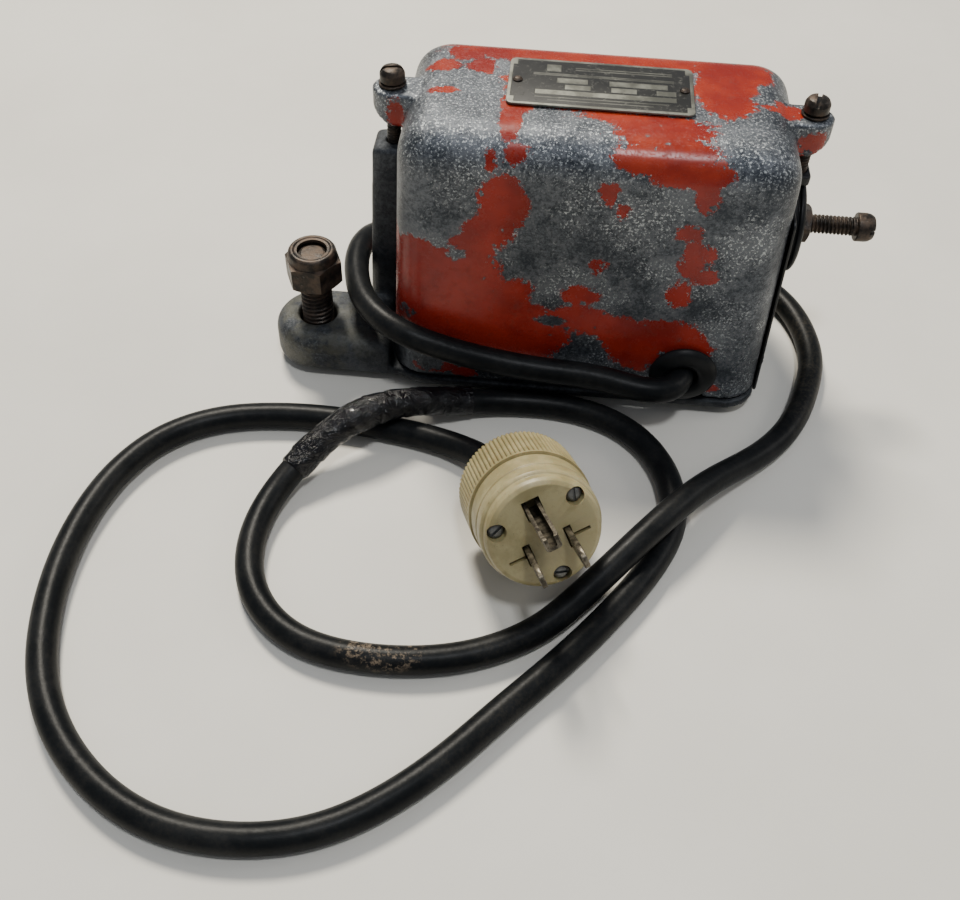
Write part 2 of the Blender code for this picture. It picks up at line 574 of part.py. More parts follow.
# ------------------------------------------------------------------- armature
def make_armature():
    """Armature stack, its bracket, leaf springs, backing plate and bolts."""
    face = CORE_FACE + AIR_GAP
    bracket_x = (face + LEG + GAP, LEAF_X - GAP)
    back_x = LEAF_X + LEAF_COUNT * LEAF_PITCH
    stack = box("armature_laminations", (face, face + LEG), (-STACK_HALF, STACK_HALF),
                (CORE_LOW, CORE_TOP), IRON)
    bracket = box("armature_bracket", bracket_x, (-STACK_HALF, STACK_HALF), (44 * MM, 80 * MM), STEEL)
    backing = box("spring_backing_plate", (back_x, back_x + 2 * MM), (-10 * MM, 10 * MM),
                  (44 * MM, 73 * MM), STEEL)
    join(backing, rod("button", (back_x + MM, 0, SCREW_Z), 4.5 * MM, 5 * MM, ALONG_X))
    leaves = []
    for number in range(LEAF_COUNT):
        x = LEAF_X + number * LEAF_PITCH
        leaves.append(box("leaf_spring_%d" % (number + 1), (x, x + LEAF_THICK), (-11 * MM, 11 * MM),
                          (9 * MM, 73 * MM), STEEL))
    for number, z in enumerate(ARM_BOLT_Z, 1):
        for piece in [bracket, backing] + leaves:
            cut(piece, rod("hole", (0, 0, z), 2.3 * MM, 40 * MM, ALONG_X, sides=16))
        cut(stack, rod("hole", (face + 3 * MM, 0, z), 2.3 * MM, 20 * MM, ALONG_X, sides=16))
        bolt = turned("armature_bolt_%d" % number,
                      ((0, 2.6 * MM), (3.6 * MM, 2.6 * MM), (3.6 * MM, 0), (2 * MM, 0),
                       (2 * MM, -15 * MM), (0, -15 * MM)),
                      Matrix.Translation((back_x + 2 * MM + GAP, 0, z)) @ ALONG_X, RUSTY, 16)
        solid_mesh(bolt)
    for side in (-1, 1):
        for leaf in leaves:
            cut(leaf, rod("hole", (0, side * CLAMP_Y, CLAMP_Z), 2.5 * MM, 40 * MM, ALONG_X, sides=16))


def make_spring_clamp():
    """Clamp bar and screws that grip the leaves' lower ends."""
    bar = box("spring_clamp_bar", (15 * MM, LEAF_X - GAP), (-12 * MM, 12 * MM), (8.3 * MM, PIVOT_Z), STEEL)
    for side in (-1, 1):
        y = side * CLAMP_Y
        cut(bar, rod("hole", (10 * MM, y, CLAMP_Z), 2.3 * MM, 20 * MM, ALONG_X, sides=16))
        label = "front" if side < 0 else "rear"
        screw = turned("clamp_screw_" + label,
                       ((0, 19 * MM), (2 * MM, 19 * MM), (2 * MM, 0), (3.8 * MM, 0),
                        (3.8 * MM, -3 * MM), (0, -3 * MM)),
                       Matrix.Translation((15 * MM - GAP, y, CLAMP_Z)) @ ALONG_X, RUSTY, 16)
        solid_mesh(screw)


# --------------------------------------------------------------------- wiring
def make_wiring():
    """Terminal block, ground screw and the leads inside the housing."""
    block = box("terminal_block", (-22 * MM, 2 * MM), (-28 * MM, -19.5 * MM), (8.3 * MM, 16 * MM), PHENOLIC,
                bevel=0.8 * MM)
    smooth(block.data)
    ground = turned("ground_screw",
                    ((0, 11.6 * MM), (2 * MM, 11.4 * MM), (3 * MM, 9.4 * MM), (1.5 * MM, 9.4 * MM),
                     (1.5 * MM, 5.2 * MM), (0, 5.2 * MM)),
                    Matrix.Translation((*GROUND_SPOT, 0)), BRASS, 16)
    solid_mesh(ground)
    end = Vector((GROMMET_X, CORD_END_Y + GAP, GROMMET_Z))
    leads = (
        ("line_lead", WIRE_WHITE, ((0, 0.3, 1.6), (0, 2.5, 1.8), (-3, 4.6, 2), (-8, 5, 1.5), (-22, 1, 0),
                                   (-32, -2, 0), (-38, -2, -0.5), (-40, -2, -1.3))),
        ("neutral_lead", RUBBER, ((-1.6, 0.3, -1), (-1.7, 1.8, -1), (-4, 3.2, -1), (-12, 1, 0),
                                  (-24, -3.3, 2), (-40, -3, 3.2), (-50, -2.4, 2), (-52, -2.4, -1.3))),
        ("ground_lead", WIRE_GREEN, ((1.6, 0.3, -1), (1.7, 2.5, -1.4), (0, 4.8, -2.6), (-4, 5.5, -4),
                                     (-12, 3, -5.6), (-19, 0.4, -6.0))),
    )
    for name, skin, steps in leads:
        route = [end + Vector(step) * MM for step in steps]
        tube(name, smooth_route(route, 2.4 * MM), 0.9 * MM, skin, 1)
    drop = ((0, -1, 0), (0, -2.4, -4), (0, -3, -12), (0, -2, -24), (0, -1.2, -32.5))
    for name, x in (("coil_lead_start", -4 * MM), ("coil_lead_end", -16 * MM)):
        top = Vector((x, -21.3 * MM, 50 * MM))
        route = [top + Vector(step) * MM for step in drop]
        tube(name, smooth_route(route, 3 * MM), 0.9 * MM, COPPER, 1)


# ------------------------------------------------------------- mounting bolt
def make_mounting_bolt():
    """Low-headed bolt standing in the lug, and its tall lock nut."""
    place = Matrix.Translation((LUG_X, LUG_Y, 0))
    bolt = turned("mounting_bolt",
                  ((0, BOLT_TOP), (4.7 * MM, BOLT_TOP), (BOLT_RADIUS, BOLT_TOP - 0.8 * MM),
                   (BOLT_RADIUS, 3.5 * MM), (10.5 * MM, 3.5 * MM), (10.5 * MM, 0), (0, 0)), place, RUSTY, 32)
    solid_mesh(bolt)
    nut = rod("mounting_nut", (LUG_X, LUG_Y, NUT_LOW), NUT_CORNER, 9.3 * MM, None, RUSTY, 6, spin=NUT_TURN)
    collar = rod("collar", (LUG_X, LUG_Y, NUT_LOW + 9 * MM), 8.6 * MM, NUT_TOP - NUT_LOW - 9 * MM,
                 sides=32, end_radius=7.6 * MM)
    join(nut, collar)
    cut(nut, rod("bore", (LUG_X, LUG_Y, NUT_LOW - MM), BOLT_RADIUS + GAP, 20 * MM, sides=32))


# ------------------------------------------------------------- cord and plug
def make_grommet():
    """Rubber cord grommet in the cover's notch."""
    turned("cord_grommet",
           ((10.3 * MM, -28 * MM), (10.3 * MM, -30.6 * MM), (8 * MM, -30.6 * MM), (8 * MM, -35.5 * MM),
            (11.3 * MM, -35.5 * MM), (11.3 * MM, -36.6 * MM), (10 * MM, -38.2 * MM), (7 * MM, -38.9 * MM),
            (CLEAR_BORE, -38.9 * MM), (CLEAR_BORE, -28 * MM)),
           Matrix.Translation((GROMMET_X, 0, GROMMET_Z)) @ ALONG_Y, RUBBER, 32)


def plug_matrix():
    """Local Z is out of the plug's face; the rear rim stands on the ground."""
    rim = PLUG_DEPTH - PLUG_RIM
    lift = rim * math.sin(PLUG_TILT) + SHELL_RADIUS * math.cos(PLUG_TILT) + MM / 10
    return (Matrix.Translation((PLUG_X, PLUG_Y, lift))
            @ Matrix.Rotation(PLUG_HEADING, 4, "Z")
            @ Matrix.Rotation(math.pi / 2 - PLUG_TILT, 4, "X")
            @ Matrix.Rotation(PLUG_ROLL, 4, "Z"))


def make_plug():
    """Three-pin plug: front body, rear shell, blades, earth pin and face screws."""
    place = plug_matrix()
    body = turned("plug_body",
                  ((0, 0), (17.2 * MM, 0), (PLUG_RADIUS, -MM), (PLUG_RADIUS, -PLUG_SPLIT),
                   (0, -PLUG_SPLIT)), place, CREAM, 40)
    solid_mesh(body)
    shell = turned("plug_shell",
                   ((CLEAR_BORE, -PLUG_SPLIT - GAP), (SHELL_RADIUS, -PLUG_SPLIT - GAP),
                    (SHELL_RADIUS, PLUG_RIM - PLUG_DEPTH), (17.5 * MM, -PLUG_DEPTH),
                    (CLEAR_BORE, -PLUG_DEPTH)), place, CREAM, 40)
    solid_mesh(shell)

    def local_box(name, x, y, z, skin=None):
        made = box(name, x, y, z, skin)
        made.matrix_world = place @ made.matrix_world
        return made

    def local_rod(name, start, radius, length, skin=None, sides=16):
        made = rod(name, start, radius, length, None, skin, sides)
        made.matrix_world = place @ made.matrix_world
        return made

    for side, label in ((-1, "left"), (1, "right")):
        x = side * BLADE_X
        half = 3.18 * MM
        cut(body, local_box("slot", (x - 1.1 * MM, x + 1.1 * MM),
                            (BLADE_Y - half - GAP, BLADE_Y + half + GAP), (-10 * MM, 2 * MM)))
        local_box("plug_blade_" + label, (x - 0.76 * MM, x + 0.76 * MM), (BLADE_Y - half, BLADE_Y + half),
                  (-9.5 * MM, 16.2 * MM), BRASS)
    cut(body, local_rod("bore", (0, EARTH_Y, -10 * MM), 2.7 * MM, 12 * MM))
    earth = local_rod("plug_earth_pin", (0, EARTH_Y, -9.5 * MM), 2.35 * MM, 30 * MM, BRASS)
    cut(earth, local_box("channel", (-1.3 * MM, 1.3 * MM), (EARTH_Y, EARTH_Y + 4 * MM), (0.2 * MM, 30 * MM)))
    for number, angle in enumerate((150, 30, -90), 1):
        x = 13.9 * MM * math.cos(math.radians(angle))
        y = 13.9 * MM * math.sin(math.radians(angle))
        cut(body, local_rod("recess", (x, y, -3.6 * MM), 2.8 * MM, 5 * MM))
        local_rod("plug_screw_%d" % number, (x, y, -3.3 * MM), 2.5 * MM, 2 * MM, STEEL)


def cut_route(points, near):
    """Index of the point of a chain nearest to a place."""
    place = Vector(near) * MM
    return min(range(len(points)), key=lambda i: (points[i] - place).length)


def make_cord():
    """Cord in two lengths, spliced under tape, from the cover to the plug."""
    place = plug_matrix()
    rear = place @ Vector((0, 0, -PLUG_DEPTH))
    inside = place @ Vector((0, 0, 10 * MM - PLUG_DEPTH))
    before = place @ Vector((0, 0, -9 * MM - PLUG_DEPTH))
    route = [Vector(p) * MM for p in CORD_ROUTE] + [before, rear, inside]
    even = smooth_route(route, 2 * CORD_RADIUS)
    first = cut_route(even, TAPE_FROM)
    last = cut_route(even, TAPE_TO)
    step = (even[1] - even[0]).length
    thin = [i for i in range(len(even)) if i % 2 == 0 or i < 6 or i > len(even) - 4]
    upper = [even[i] for i in thin if i < first] + [even[first]]
    lower = [even[last]] + [even[i] for i in thin if i > last]
    shrink = 5 * GAP / step
    start = even[first].lerp(even[first + 1], shrink)
    finish = even[last].lerp(even[last - 1], shrink)
    tube("supply_cord_upper", upper, CORD_RADIUS, RUBBER, 3)
    tube("cord_splice_tape", [start] + even[first + 1:last] + [finish], TAPE_RADIUS, TAPE, 3)
    tube("supply_cord_lower", lower, CORD_RADIUS, RUBBER, 3)


make_base()
make_cover()
make_rating_plate()
make_cover_screws()
make_end_plate()
make_adjuster()
make_core()
make_coil()
make_armature()
make_spring_clamp()
make_wiring()
make_mounting_bolt()
make_grommet()
make_plug()
make_cord()
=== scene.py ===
"""Small electromagnetic bin vibrator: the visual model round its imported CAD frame.

Metres throughout, in the CAD row frame: X along the housing towards the
adjusting screw, -Y the cord side, +Z up, origin under the middle of the base.
"""
import json
import math

import bmesh
import bpy
import numpy as np
from mathutils import Matrix, Vector


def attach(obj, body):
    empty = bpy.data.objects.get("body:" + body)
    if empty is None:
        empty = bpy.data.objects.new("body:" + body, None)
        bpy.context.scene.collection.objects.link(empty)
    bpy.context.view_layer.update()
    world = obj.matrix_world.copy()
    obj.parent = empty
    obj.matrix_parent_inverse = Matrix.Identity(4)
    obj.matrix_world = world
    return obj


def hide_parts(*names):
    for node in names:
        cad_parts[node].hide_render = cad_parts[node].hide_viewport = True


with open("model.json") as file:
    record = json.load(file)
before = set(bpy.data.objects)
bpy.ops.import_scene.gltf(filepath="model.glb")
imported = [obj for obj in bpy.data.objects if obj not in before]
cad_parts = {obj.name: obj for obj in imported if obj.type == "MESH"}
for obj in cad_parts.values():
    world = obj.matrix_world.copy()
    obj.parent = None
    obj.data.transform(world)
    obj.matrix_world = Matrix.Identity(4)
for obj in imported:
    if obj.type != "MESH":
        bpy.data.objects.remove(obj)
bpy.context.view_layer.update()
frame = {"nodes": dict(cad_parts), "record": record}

MM = 0.001
TAU = 2 * math.pi
ALONG_X = Matrix.Rotation(math.pi / 2, 4, "Y")      # turns local Z to +X
ALONG_Y = Matrix.Rotation(-math.pi / 2, 4, "X")     # turns local Z to +Y
DRAFT = 0.034           # slope of the cover's walls
COVER_FOOT = 7.3        # heights of the cover's lower edge and top, in mm
COVER_TOP = 100
EAR_X = 65              # the two cover screws stand at this distance from the middle
SCREW_Z = 58            # height of the tuning screw's axis
LUG = (-91.5, -18)      # the mounting bolt's axis
GROMMET_X = 36.5        # where the cord leaves the front face
GROMMET_Z = 18.8
PLATE_MIDDLE = (-0.8, 1.9)
# On the end plate: local X out of its inner face, local Z up its slope.
END_FRAME = Matrix.Translation((63.6 * MM, 0, COVER_FOOT * MM)) @ Matrix.Rotation(-DRAFT, 4, "Y")
COLLECTION = bpy.context.scene.collection


def shift(x, y, z):
    """Move by an offset in mm."""
    return Matrix.Translation(Vector((x, y, z)) * MM)


# --------------------------------------------------------------------- camera
def place_camera():
    """Camera at the height and slant from which the object is seen."""
    yaw, pitch, roll = math.radians(-3.386), math.radians(48.11), math.radians(-2.352)
    forward = Vector((math.sin(yaw) * math.cos(pitch), math.cos(yaw) * math.cos(pitch),
                      -math.sin(pitch)))
    level = Vector((math.cos(yaw), -math.sin(yaw), 0))
    down = forward.cross(level)
    right = level * math.cos(roll) + down * math.sin(roll)
    up = level * math.sin(roll) - down * math.cos(roll)
    turn = Matrix((right, up, -forward)).transposed().to_4x4()
    lens = bpy.data.cameras.new("camera")
    lens.sensor_width = 36
    lens.lens = 40.77
    lens.clip_start = 0.01
    camera = bpy.data.objects.new("camera", lens)
    camera.matrix_world = Matrix.Translation((-15.1 * MM, -306.3 * MM, 273.6 * MM)) @ turn
    COLLECTION.objects.link(camera)
    bpy.context.scene.camera = camera


place_camera()


# ----------------------------------------------------------------- mesh tools
def add_mesh(name, verts, faces, place=None):
    """Smooth-shaded object from points and faces, its sharp edges kept."""
    mesh = bpy.data.meshes.new(name)
    mesh.from_pydata([tuple(v) for v in verts], [], faces)
    if place is not None:
        mesh.transform(place)
    made = bpy.data.objects.new(name, mesh)
    COLLECTION.objects.link(made)
    tidy_normals(made)
    return made


def tidy_normals(made, angle=38):
    """Outward faces, smooth shading, and sharp edges over an angle."""
    bm = bmesh.new()
    bm.from_mesh(made.data)
    bmesh.ops.recalc_face_normals(bm, faces=bm.faces)
    bm.to_mesh(made.data)
    bm.free()
    made.data.shade_smooth()
    made.data.set_sharp_from_angle(angle=math.radians(angle))


def loft(name, rings, place=None, closed=False):
    """Skin over rings of points; the end rings are capped unless it closes on itself."""
    count = len(rings[0])
    verts = [p for ring in rings for p in ring]
    faces = []
    last = len(rings) if closed else len(rings) - 1
    for k in range(last):
        a = k * count
        b = (k + 1) % len(rings) * count
        for i in range(count):
            j = (i + 1) % count
            faces.append((a + i, a + j, b + j, b + i))
    if not closed:
        faces.append(tuple(range(count))[::-1])
        faces.append(tuple(range((len(rings) - 1) * count, len(rings) * count)))
    return add_mesh(name, verts, faces, place)


def eased(points, radius, steps=4, loop=False):
    """Round every corner of a 2D chain by about a radius."""
    points = [Vector(p) for p in points]
    out = []
    count = len(points)
    for i, here in enumerate(points):
        if not loop and i in (0, count - 1):
            out.append(here)
            continue
        before = points[i - 1]
        after = points[(i + 1) % count]
        back = before - here
        ahead = after - here
        reach = min(radius, 0.48 * back.length, 0.48 * ahead.length)
        start = here + back.normalized() * reach
        finish = here + ahead.normalized() * reach
        for s in range(steps + 1):
            t = s / steps
            out.append(start * (1 - t) ** 2 + here * 2 * t * (1 - t) + finish * t * t)
    return out


def lathe(name, profile, place=None, sides=64, ease=0.0, shape=None):
    """Turned piece from (radius, height) points in mm. A profile that leaves the axis at
    both ends is a closed ring. shape(angle, radius, height) can change the radius."""
    ring = profile[0][0] > 0
    if ease:
        profile = eased(profile, ease, loop=ring)
    rings = []
    for radius, height in profile:
        row = []
        for i in range(sides):
            angle = TAU * i / sides
            r = shape(angle, radius, height) if shape else radius
            row.append(around(r, angle, height))
        rings.append(row)
    if ring:
        return loft(name, rings, place, closed=True)
    made = loft(name, rings, place)
    bm = bmesh.new()
    bm.from_mesh(made.data)
    bmesh.ops.remove_doubles(bm, verts=bm.verts, dist=0.001 * MM)
    bm.to_mesh(made.data)
    bm.free()
    tidy_normals(made)
    return made


def rectangle(half_x, half_y, corner, steps=6):
    """Outline of a rectangle with round corners, in mm, about its centre."""
    out = []
    for k, (sx, sy) in enumerate(((1, 1), (-1, 1), (-1, -1), (1, -1))):
        for s in range(steps + 1):
            angle = math.pi / 2 * (k + s / steps)
            out.append(Vector((sx * (half_x - corner) + corner * math.cos(angle),
                               sy * (half_y - corner) + corner * math.sin(angle))))
    return out


def outline(shape, z):
    """Flat shape in mm as a ring of points at a height."""
    return [Vector((p.x, p.y, z)) * MM for p in shape]


def around(radius, angle, z):
    """Point at a radius, angle and height from the local Z axis, in mm."""
    return Vector((radius * math.cos(angle), radius * math.sin(angle), z)) * MM


def plate(name, half_x, half_y, corner, low, high, edge, place=None):
    """Flat plate with round corners and softened edges, in mm."""
    levels = []
    for s in range(4):
        turn = math.pi / 2 * s / 3
        levels.append((edge * (1 - math.sin(turn)), low + edge * (1 - math.cos(turn))))
    levels = levels + [(inset, low + high - z) for inset, z in reversed(levels)]
    rings = []
    for inset, z in levels:
        shape = rectangle(half_x - inset, half_y - inset, max(0.05, corner - inset))
        rings.append(outline(shape, z))
    return loft(name, rings, place)


def applied(target):
    """Give an object the mesh its modifiers make."""
    bpy.context.view_layer.update()
    graph = bpy.context.evaluated_depsgraph_get()
    mesh = bpy.data.meshes.new_from_object(target.evaluated_get(graph))
    target.modifiers.clear()
    target.data = mesh
    return target


def combine(target, operation, *tools):
    """Boolean the tools into the target in turn, and remove them."""
    for tool in tools:
        change = target.modifiers.new("combine", "BOOLEAN")
        change.operation = operation
        change.object = tool
        change.solver = "EXACT"
        applied(target)
        bpy.data.objects.remove(tool, do_unlink=True)
    tidy_normals(target)
    return target


def cut(target, *tools):
    return combine(target, "DIFFERENCE", *tools)


def join(target, *tools):
    return combine(target, "UNION", *tools)


def block(x, y, z, place=None):
    """Plain box from (low, high) pairs in mm, used as a cutter or to build castings."""
    corners = [Vector((x[i], y[j], z[k])) * MM for k in (0, 1) for j in (0, 1) for i in (0, 1)]
    faces = [(0, 2, 3, 1), (4, 5, 7, 6), (0, 1, 5, 4), (2, 6, 7, 3), (0, 4, 6, 2), (1, 3, 7, 5)]
    return add_mesh("block", corners, faces, place)


def rod(start, radius, length, turn=None, sides=32, tip=None):
    """Plain cylinder or cone in mm, used as a cutter or to build castings."""
    place = shift(*start)
    if turn is not None:
        place = place @ turn
    end = radius if tip is None else tip
    rings = [[around(r, TAU * i / sides, h) for i in range(sides)]
             for r, h in ((radius, 0), (end, length))]
    return loft("rod", rings, place)


def recast(target, voxel, rounds):
    """Blend a built-up shape into one soft-edged casting."""
    remesh = target.modifiers.new("remesh", "REMESH")
    remesh.mode = "VOXEL"
    remesh.voxel_size = voxel * MM
    soften = target.modifiers.new("soften", "SMOOTH")
    soften.factor = 0.5
    soften.iterations = rounds
    applied(target)
    target.data.shade_smooth()
    return target


def drafted(name, z, half_x, half_y, corner, crown):
    """Tapering box with round upright corners and a rounded top, in mm."""
    low, high = z
    levels = [(0, low)]
    steps = 8
    for s in range(steps + 1):
        turn = math.pi / 2 * s / steps
        levels.append((crown * (1 - math.cos(turn)), high - crown * (1 - math.sin(turn))))
    rings = []
    for inset, level in levels:
        inset += DRAFT * (level - COVER_FOOT)
        shape = rectangle(half_x - inset, half_y - inset, max(1.0, corner - 0.6 * inset), 8)
        rings.append(outline(shape, level))
    return loft(name, rings)


def tongue(root, tip, middle, half, z):
    """Block along X in mm whose tip is a half-round."""
    steps = 16
    way = 1 if tip > root else -1
    shape = [Vector((root, middle - half)), Vector((root, middle + half))]
    for s in range(steps + 1):
        angle = math.pi / 2 - math.pi * s / steps
        shape.append(Vector((tip - way * half + way * half * math.cos(angle),
                             middle + half * math.sin(angle))))
    return loft("tongue", [outline(shape, level) for level in z])


def threaded(name, radius, depth, pitch, length, place, sides=40, lead=1.0):
    """Rod with a real helical thread from local z 0 to its length, in mm."""
    step = pitch / 8
    rows = int(length / step)
    rings = []
    for k in range(rows + 1):
        z = length * k / rows
        row = []
        ends = min(1.0, min(z, length - z) / lead)
        for i in range(sides):
            angle = TAU * i / sides
            phase = (z / pitch - angle / TAU) % 1
            ridge = 1 - abs(2 * phase - 1)
            r = radius - depth * (1 - min(1.0, 1.25 * ridge)) - depth * 0.8 * (1 - ends)
            row.append(around(r, angle, z))
        rings.append(row)
    return loft(name, rings, place)


def hexagon(across, low, high, place, turn, bite):
    """Hexagonal nut body in mm, its corners chamfered as a turned nut's are."""
    corner = across / math.sqrt(3)
    rings = [[around(corner, turn + TAU * i / 6, h) for i in range(6)] for h in (low, high)]
    nut = loft("nut", rings, place)
    flat = across / 2
    profile = [(0, low), (flat - 0.2, low), (corner + 0.4, low + bite * 0.6),
               (corner + 0.4, high - bite * 0.75), (flat - 0.6, high), (0, high)]
    return combine(nut, "INTERSECT", lathe("limit", profile, place, 48))


def soft_edges(target, width):
    """Small bevel on every sharp edge."""
    bevel = target.modifiers.new("edges", "BEVEL")
    bevel.width = width * MM
    bevel.segments = 2
    bevel.limit_method = "ANGLE"
    bevel.angle_limit = math.radians(38)
    bevel.harden_normals = False
    applied(target)
    tidy_normals(target, 50)
    return target


# ------------------------------------------------------------------ materials
class Shader:
    """A procedural material, built a node at a time in object coordinates."""

    def __init__(self, name, metallic=0.0, roughness=0.5):
        self.material = bpy.data.materials.new(name)
        self.material.use_nodes = True
        self.tree = self.material.node_tree
        self.skin = self.tree.nodes["Principled BSDF"]
        self.skin.inputs["Metallic"].default_value = metallic
        self.skin.inputs["Roughness"].default_value = roughness
        self.place = self.node("ShaderNodeTexCoord").outputs["Object"]
        self.normal = None

    def node(self, kind, **settings):
        made = self.tree.nodes.new(kind)
        for key, value in settings.items():
            setattr(made, key, value)
        return made

    def put(self, socket, value):
        if isinstance(value, bpy.types.NodeSocket):
            self.tree.links.new(value, socket)
        else:
            socket.default_value = value

    def noise(self, scale, detail, roughness, distortion=0.0):
        made = self.node("ShaderNodeTexNoise")
        self.put(made.inputs["Vector"], self.place)
        made.inputs["Scale"].default_value = scale
        made.inputs["Detail"].default_value = detail
        made.inputs["Roughness"].default_value = roughness
        made.inputs["Distortion"].default_value = distortion
        return made.outputs["Fac"]

    def math(self, operation, a, b=0.0, c=0.0):
        made = self.node("ShaderNodeMath", operation=operation)
        for socket, value in zip(made.inputs, (a, b, c)):
            self.put(socket, value)
        return made.outputs[0]

    def times(self, a, b):
        return self.math("MULTIPLY", a, b)

    def line(self, value, gain, offset):
        return self.math("MULTIPLY_ADD", value, gain, offset)

    def rest(self, value):
        """What is left up to one."""
        return self.math("SUBTRACT", 1.0, value)

    def axes(self):
        """The piece's own X, Y and Z, in metres."""
        split = self.node("ShaderNodeSeparateXYZ")
        self.put(split.inputs[0], self.place)
        return split.outputs

    def fade(self, value, low, high, start=0.0, finish=1.0):
        """Smooth step from start to finish while value goes from low to high."""
        made = self.node("ShaderNodeMapRange", interpolation_type="SMOOTHSTEP")
        self.put(made.inputs[0], value)
        for socket, number in zip(made.inputs[1:5], (low, high, start, finish)):
            socket.default_value = number
        return made.outputs[0]

    def mix(self, share, first, second):
        made = self.node("ShaderNodeMix", data_type="RGBA")
        for number, value in ((0, share), (6, first), (7, second)):
            if isinstance(value, tuple):
                value = (*value, 1)
            self.put(made.inputs[number], value)
        return made.outputs[2]

    def near(self, centre, radii):
        """0 at the middle of an ellipsoid and 1 on its surface; mm in the piece's coordinates."""
        moved = self.node("ShaderNodeVectorMath", operation="SUBTRACT")
        self.put(moved.inputs[0], self.place)
        moved.inputs[1].default_value = [c * MM for c in centre]
        scaled = self.node("ShaderNodeVectorMath", operation="DIVIDE")
        self.put(scaled.inputs[0], moved.outputs[0])
        scaled.inputs[1].default_value = [r * MM for r in radii]
        length = self.node("ShaderNodeVectorMath", operation="LENGTH")
        self.put(length.inputs[0], scaled.outputs[0])
        return length.outputs["Value"]

    def bump(self, height, depth, strength=1.0):
        """Relief of a depth in mm; later calls add to earlier ones."""
        made = self.node("ShaderNodeBump")
        made.inputs["Strength"].default_value = strength
        made.inputs["Distance"].default_value = depth * MM
        self.put(made.inputs["Height"], height)
        if self.normal is not None:
            self.put(made.inputs["Normal"], self.normal)
        self.normal = made.outputs[0]
        self.put(self.skin.inputs["Normal"], self.normal)

    def colour(self, value):
        if isinstance(value, tuple):
            value = (*value, 1)
        self.put(self.skin.inputs["Base Color"], value)

    def roughness(self, value):
        self.put(self.skin.inputs["Roughness"], value)

    def shine(self, value):
        self.put(self.skin.inputs["Specular IOR Level"], value)

    def metallic(self, value):
        self.put(self.skin.inputs["Metallic"], value)


def bare_casting(sh, tone=1.0, scuffed=1.0):
    """Colour of bare oxidised aluminium: blotched grey with bright scuffed specks; the specks
    gather towards the top of the housing as painted light, lightening the upper faces."""
    blotch = sh.noise(80, 6, 0.65)
    grain = sh.noise(700, 6, 0.8)
    dark = (0.030 * tone, 0.036 * tone, 0.046 * tone)
    light = (0.135 * tone, 0.146 * tone, 0.163 * tone)
    cloud = sh.line(grain, 0.55, sh.times(blotch, 0.45))
    base = sh.mix(sh.fade(cloud, 0.40, 0.60), dark, light)
    speck = sh.fade(sh.noise(1300, 4, 0.72), 0.545, 0.61)
    patches = sh.fade(sh.noise(42, 6, 0.7), 0.44, 0.62, 0.06, 0.9)
    # Painted light: more bright specks towards the top, so the upward faces read lighter
    high = sh.fade(sh.axes()[2], 0.080, 0.099, 0.0, 0.75)
    share = sh.times(speck, sh.times(sh.math("MAXIMUM", patches, high), scuffed))
    bright = (0.56 * tone, 0.59 * tone, 0.60 * tone)
    return sh.mix(share, base, bright), grain, speck


COARSE_FLAKES = 16.0    # how far, in mm, noise moves the enamel's edge
FINE_FLAKES = 9.0
CHIP_DEPTH = 9.0


def worn_enamel():
    """Red enamel over cast aluminium; the paint attribute says where it is left, in mm."""
    sh = Shader("worn_red_enamel")
    metal, grain, speck = bare_casting(sh)
    left = sh.node("ShaderNodeAttribute", attribute_name="paint").outputs["Fac"]
    coarse = sh.line(sh.noise(130, 7, 0.75), COARSE_FLAKES, -COARSE_FLAKES / 2)
    fine = sh.line(sh.noise(520, 5, 0.8), FINE_FLAKES, -FINE_FLAKES / 2)
    edge = sh.math("ADD", sh.math("ADD", left, coarse), fine)
    chips = sh.fade(sh.noise(260, 3, 0.5), 0.67, 0.70)
    edge = sh.math("SUBTRACT", edge, sh.times(chips, CHIP_DEPTH))
    paint = sh.fade(edge, -0.15, 0.15)
    rim = sh.math("SUBTRACT", sh.fade(edge, -1.1, -0.2), paint)
    fresh = sh.fade(sh.noise(45, 5, 0.6), 0.35, 0.65)
    # Painted light and shade: the red is lighter and more orange on the top, and darker on the
    # walls
    top = sh.fade(sh.axes()[2], 0.086, 0.099)
    shaded_wall_red = sh.mix(fresh, (0.19, 0.009, 0.006), (0.31, 0.020, 0.010))
    lit_top_red = sh.mix(fresh, (0.21, 0.011, 0.005), (0.36, 0.034, 0.009))
    lit_and_shaded_red = sh.mix(top, shaded_wall_red, lit_top_red)
    grime = sh.fade(sh.noise(260, 8, 0.75), 0.52, 0.72)
    red = sh.mix(sh.times(grime, 0.5), lit_and_shaded_red, (0.10, 0.020, 0.012))
    # Pale rim along the chipped enamel edge: partly primer, partly a painted highlight on the
    # raised edge
    chip_rim_primer_and_highlight = sh.times(sh.times(rim, speck), 0.8)
    metal = sh.mix(chip_rim_primer_and_highlight, metal, (0.72, 0.72, 0.70))
    sh.shine(0.36)
    sh.colour(sh.mix(paint, metal, red))
    sh.metallic(sh.line(paint, -0.62, 0.62))
    bare = sh.line(grain, 0.35, 0.20)
    glossy = sh.line(grime, 0.25, 0.27)
    rough = sh.node("ShaderNodeMix", data_type="FLOAT")
    sh.put(rough.inputs[0], paint)
    sh.put(rough.inputs[2], bare)
    sh.put(rough.inputs[3], glossy)
    sh.roughness(rough.outputs[0])
    sh.bump(sh.times(grain, sh.rest(paint)), 0.4, 0.6)
    sh.bump(speck, 0.06, 0.3)
    sh.bump(paint, 0.14)
    sh.bump(sh.noise(140, 3, 0.5), 0.3, 0.3)
    return sh.material


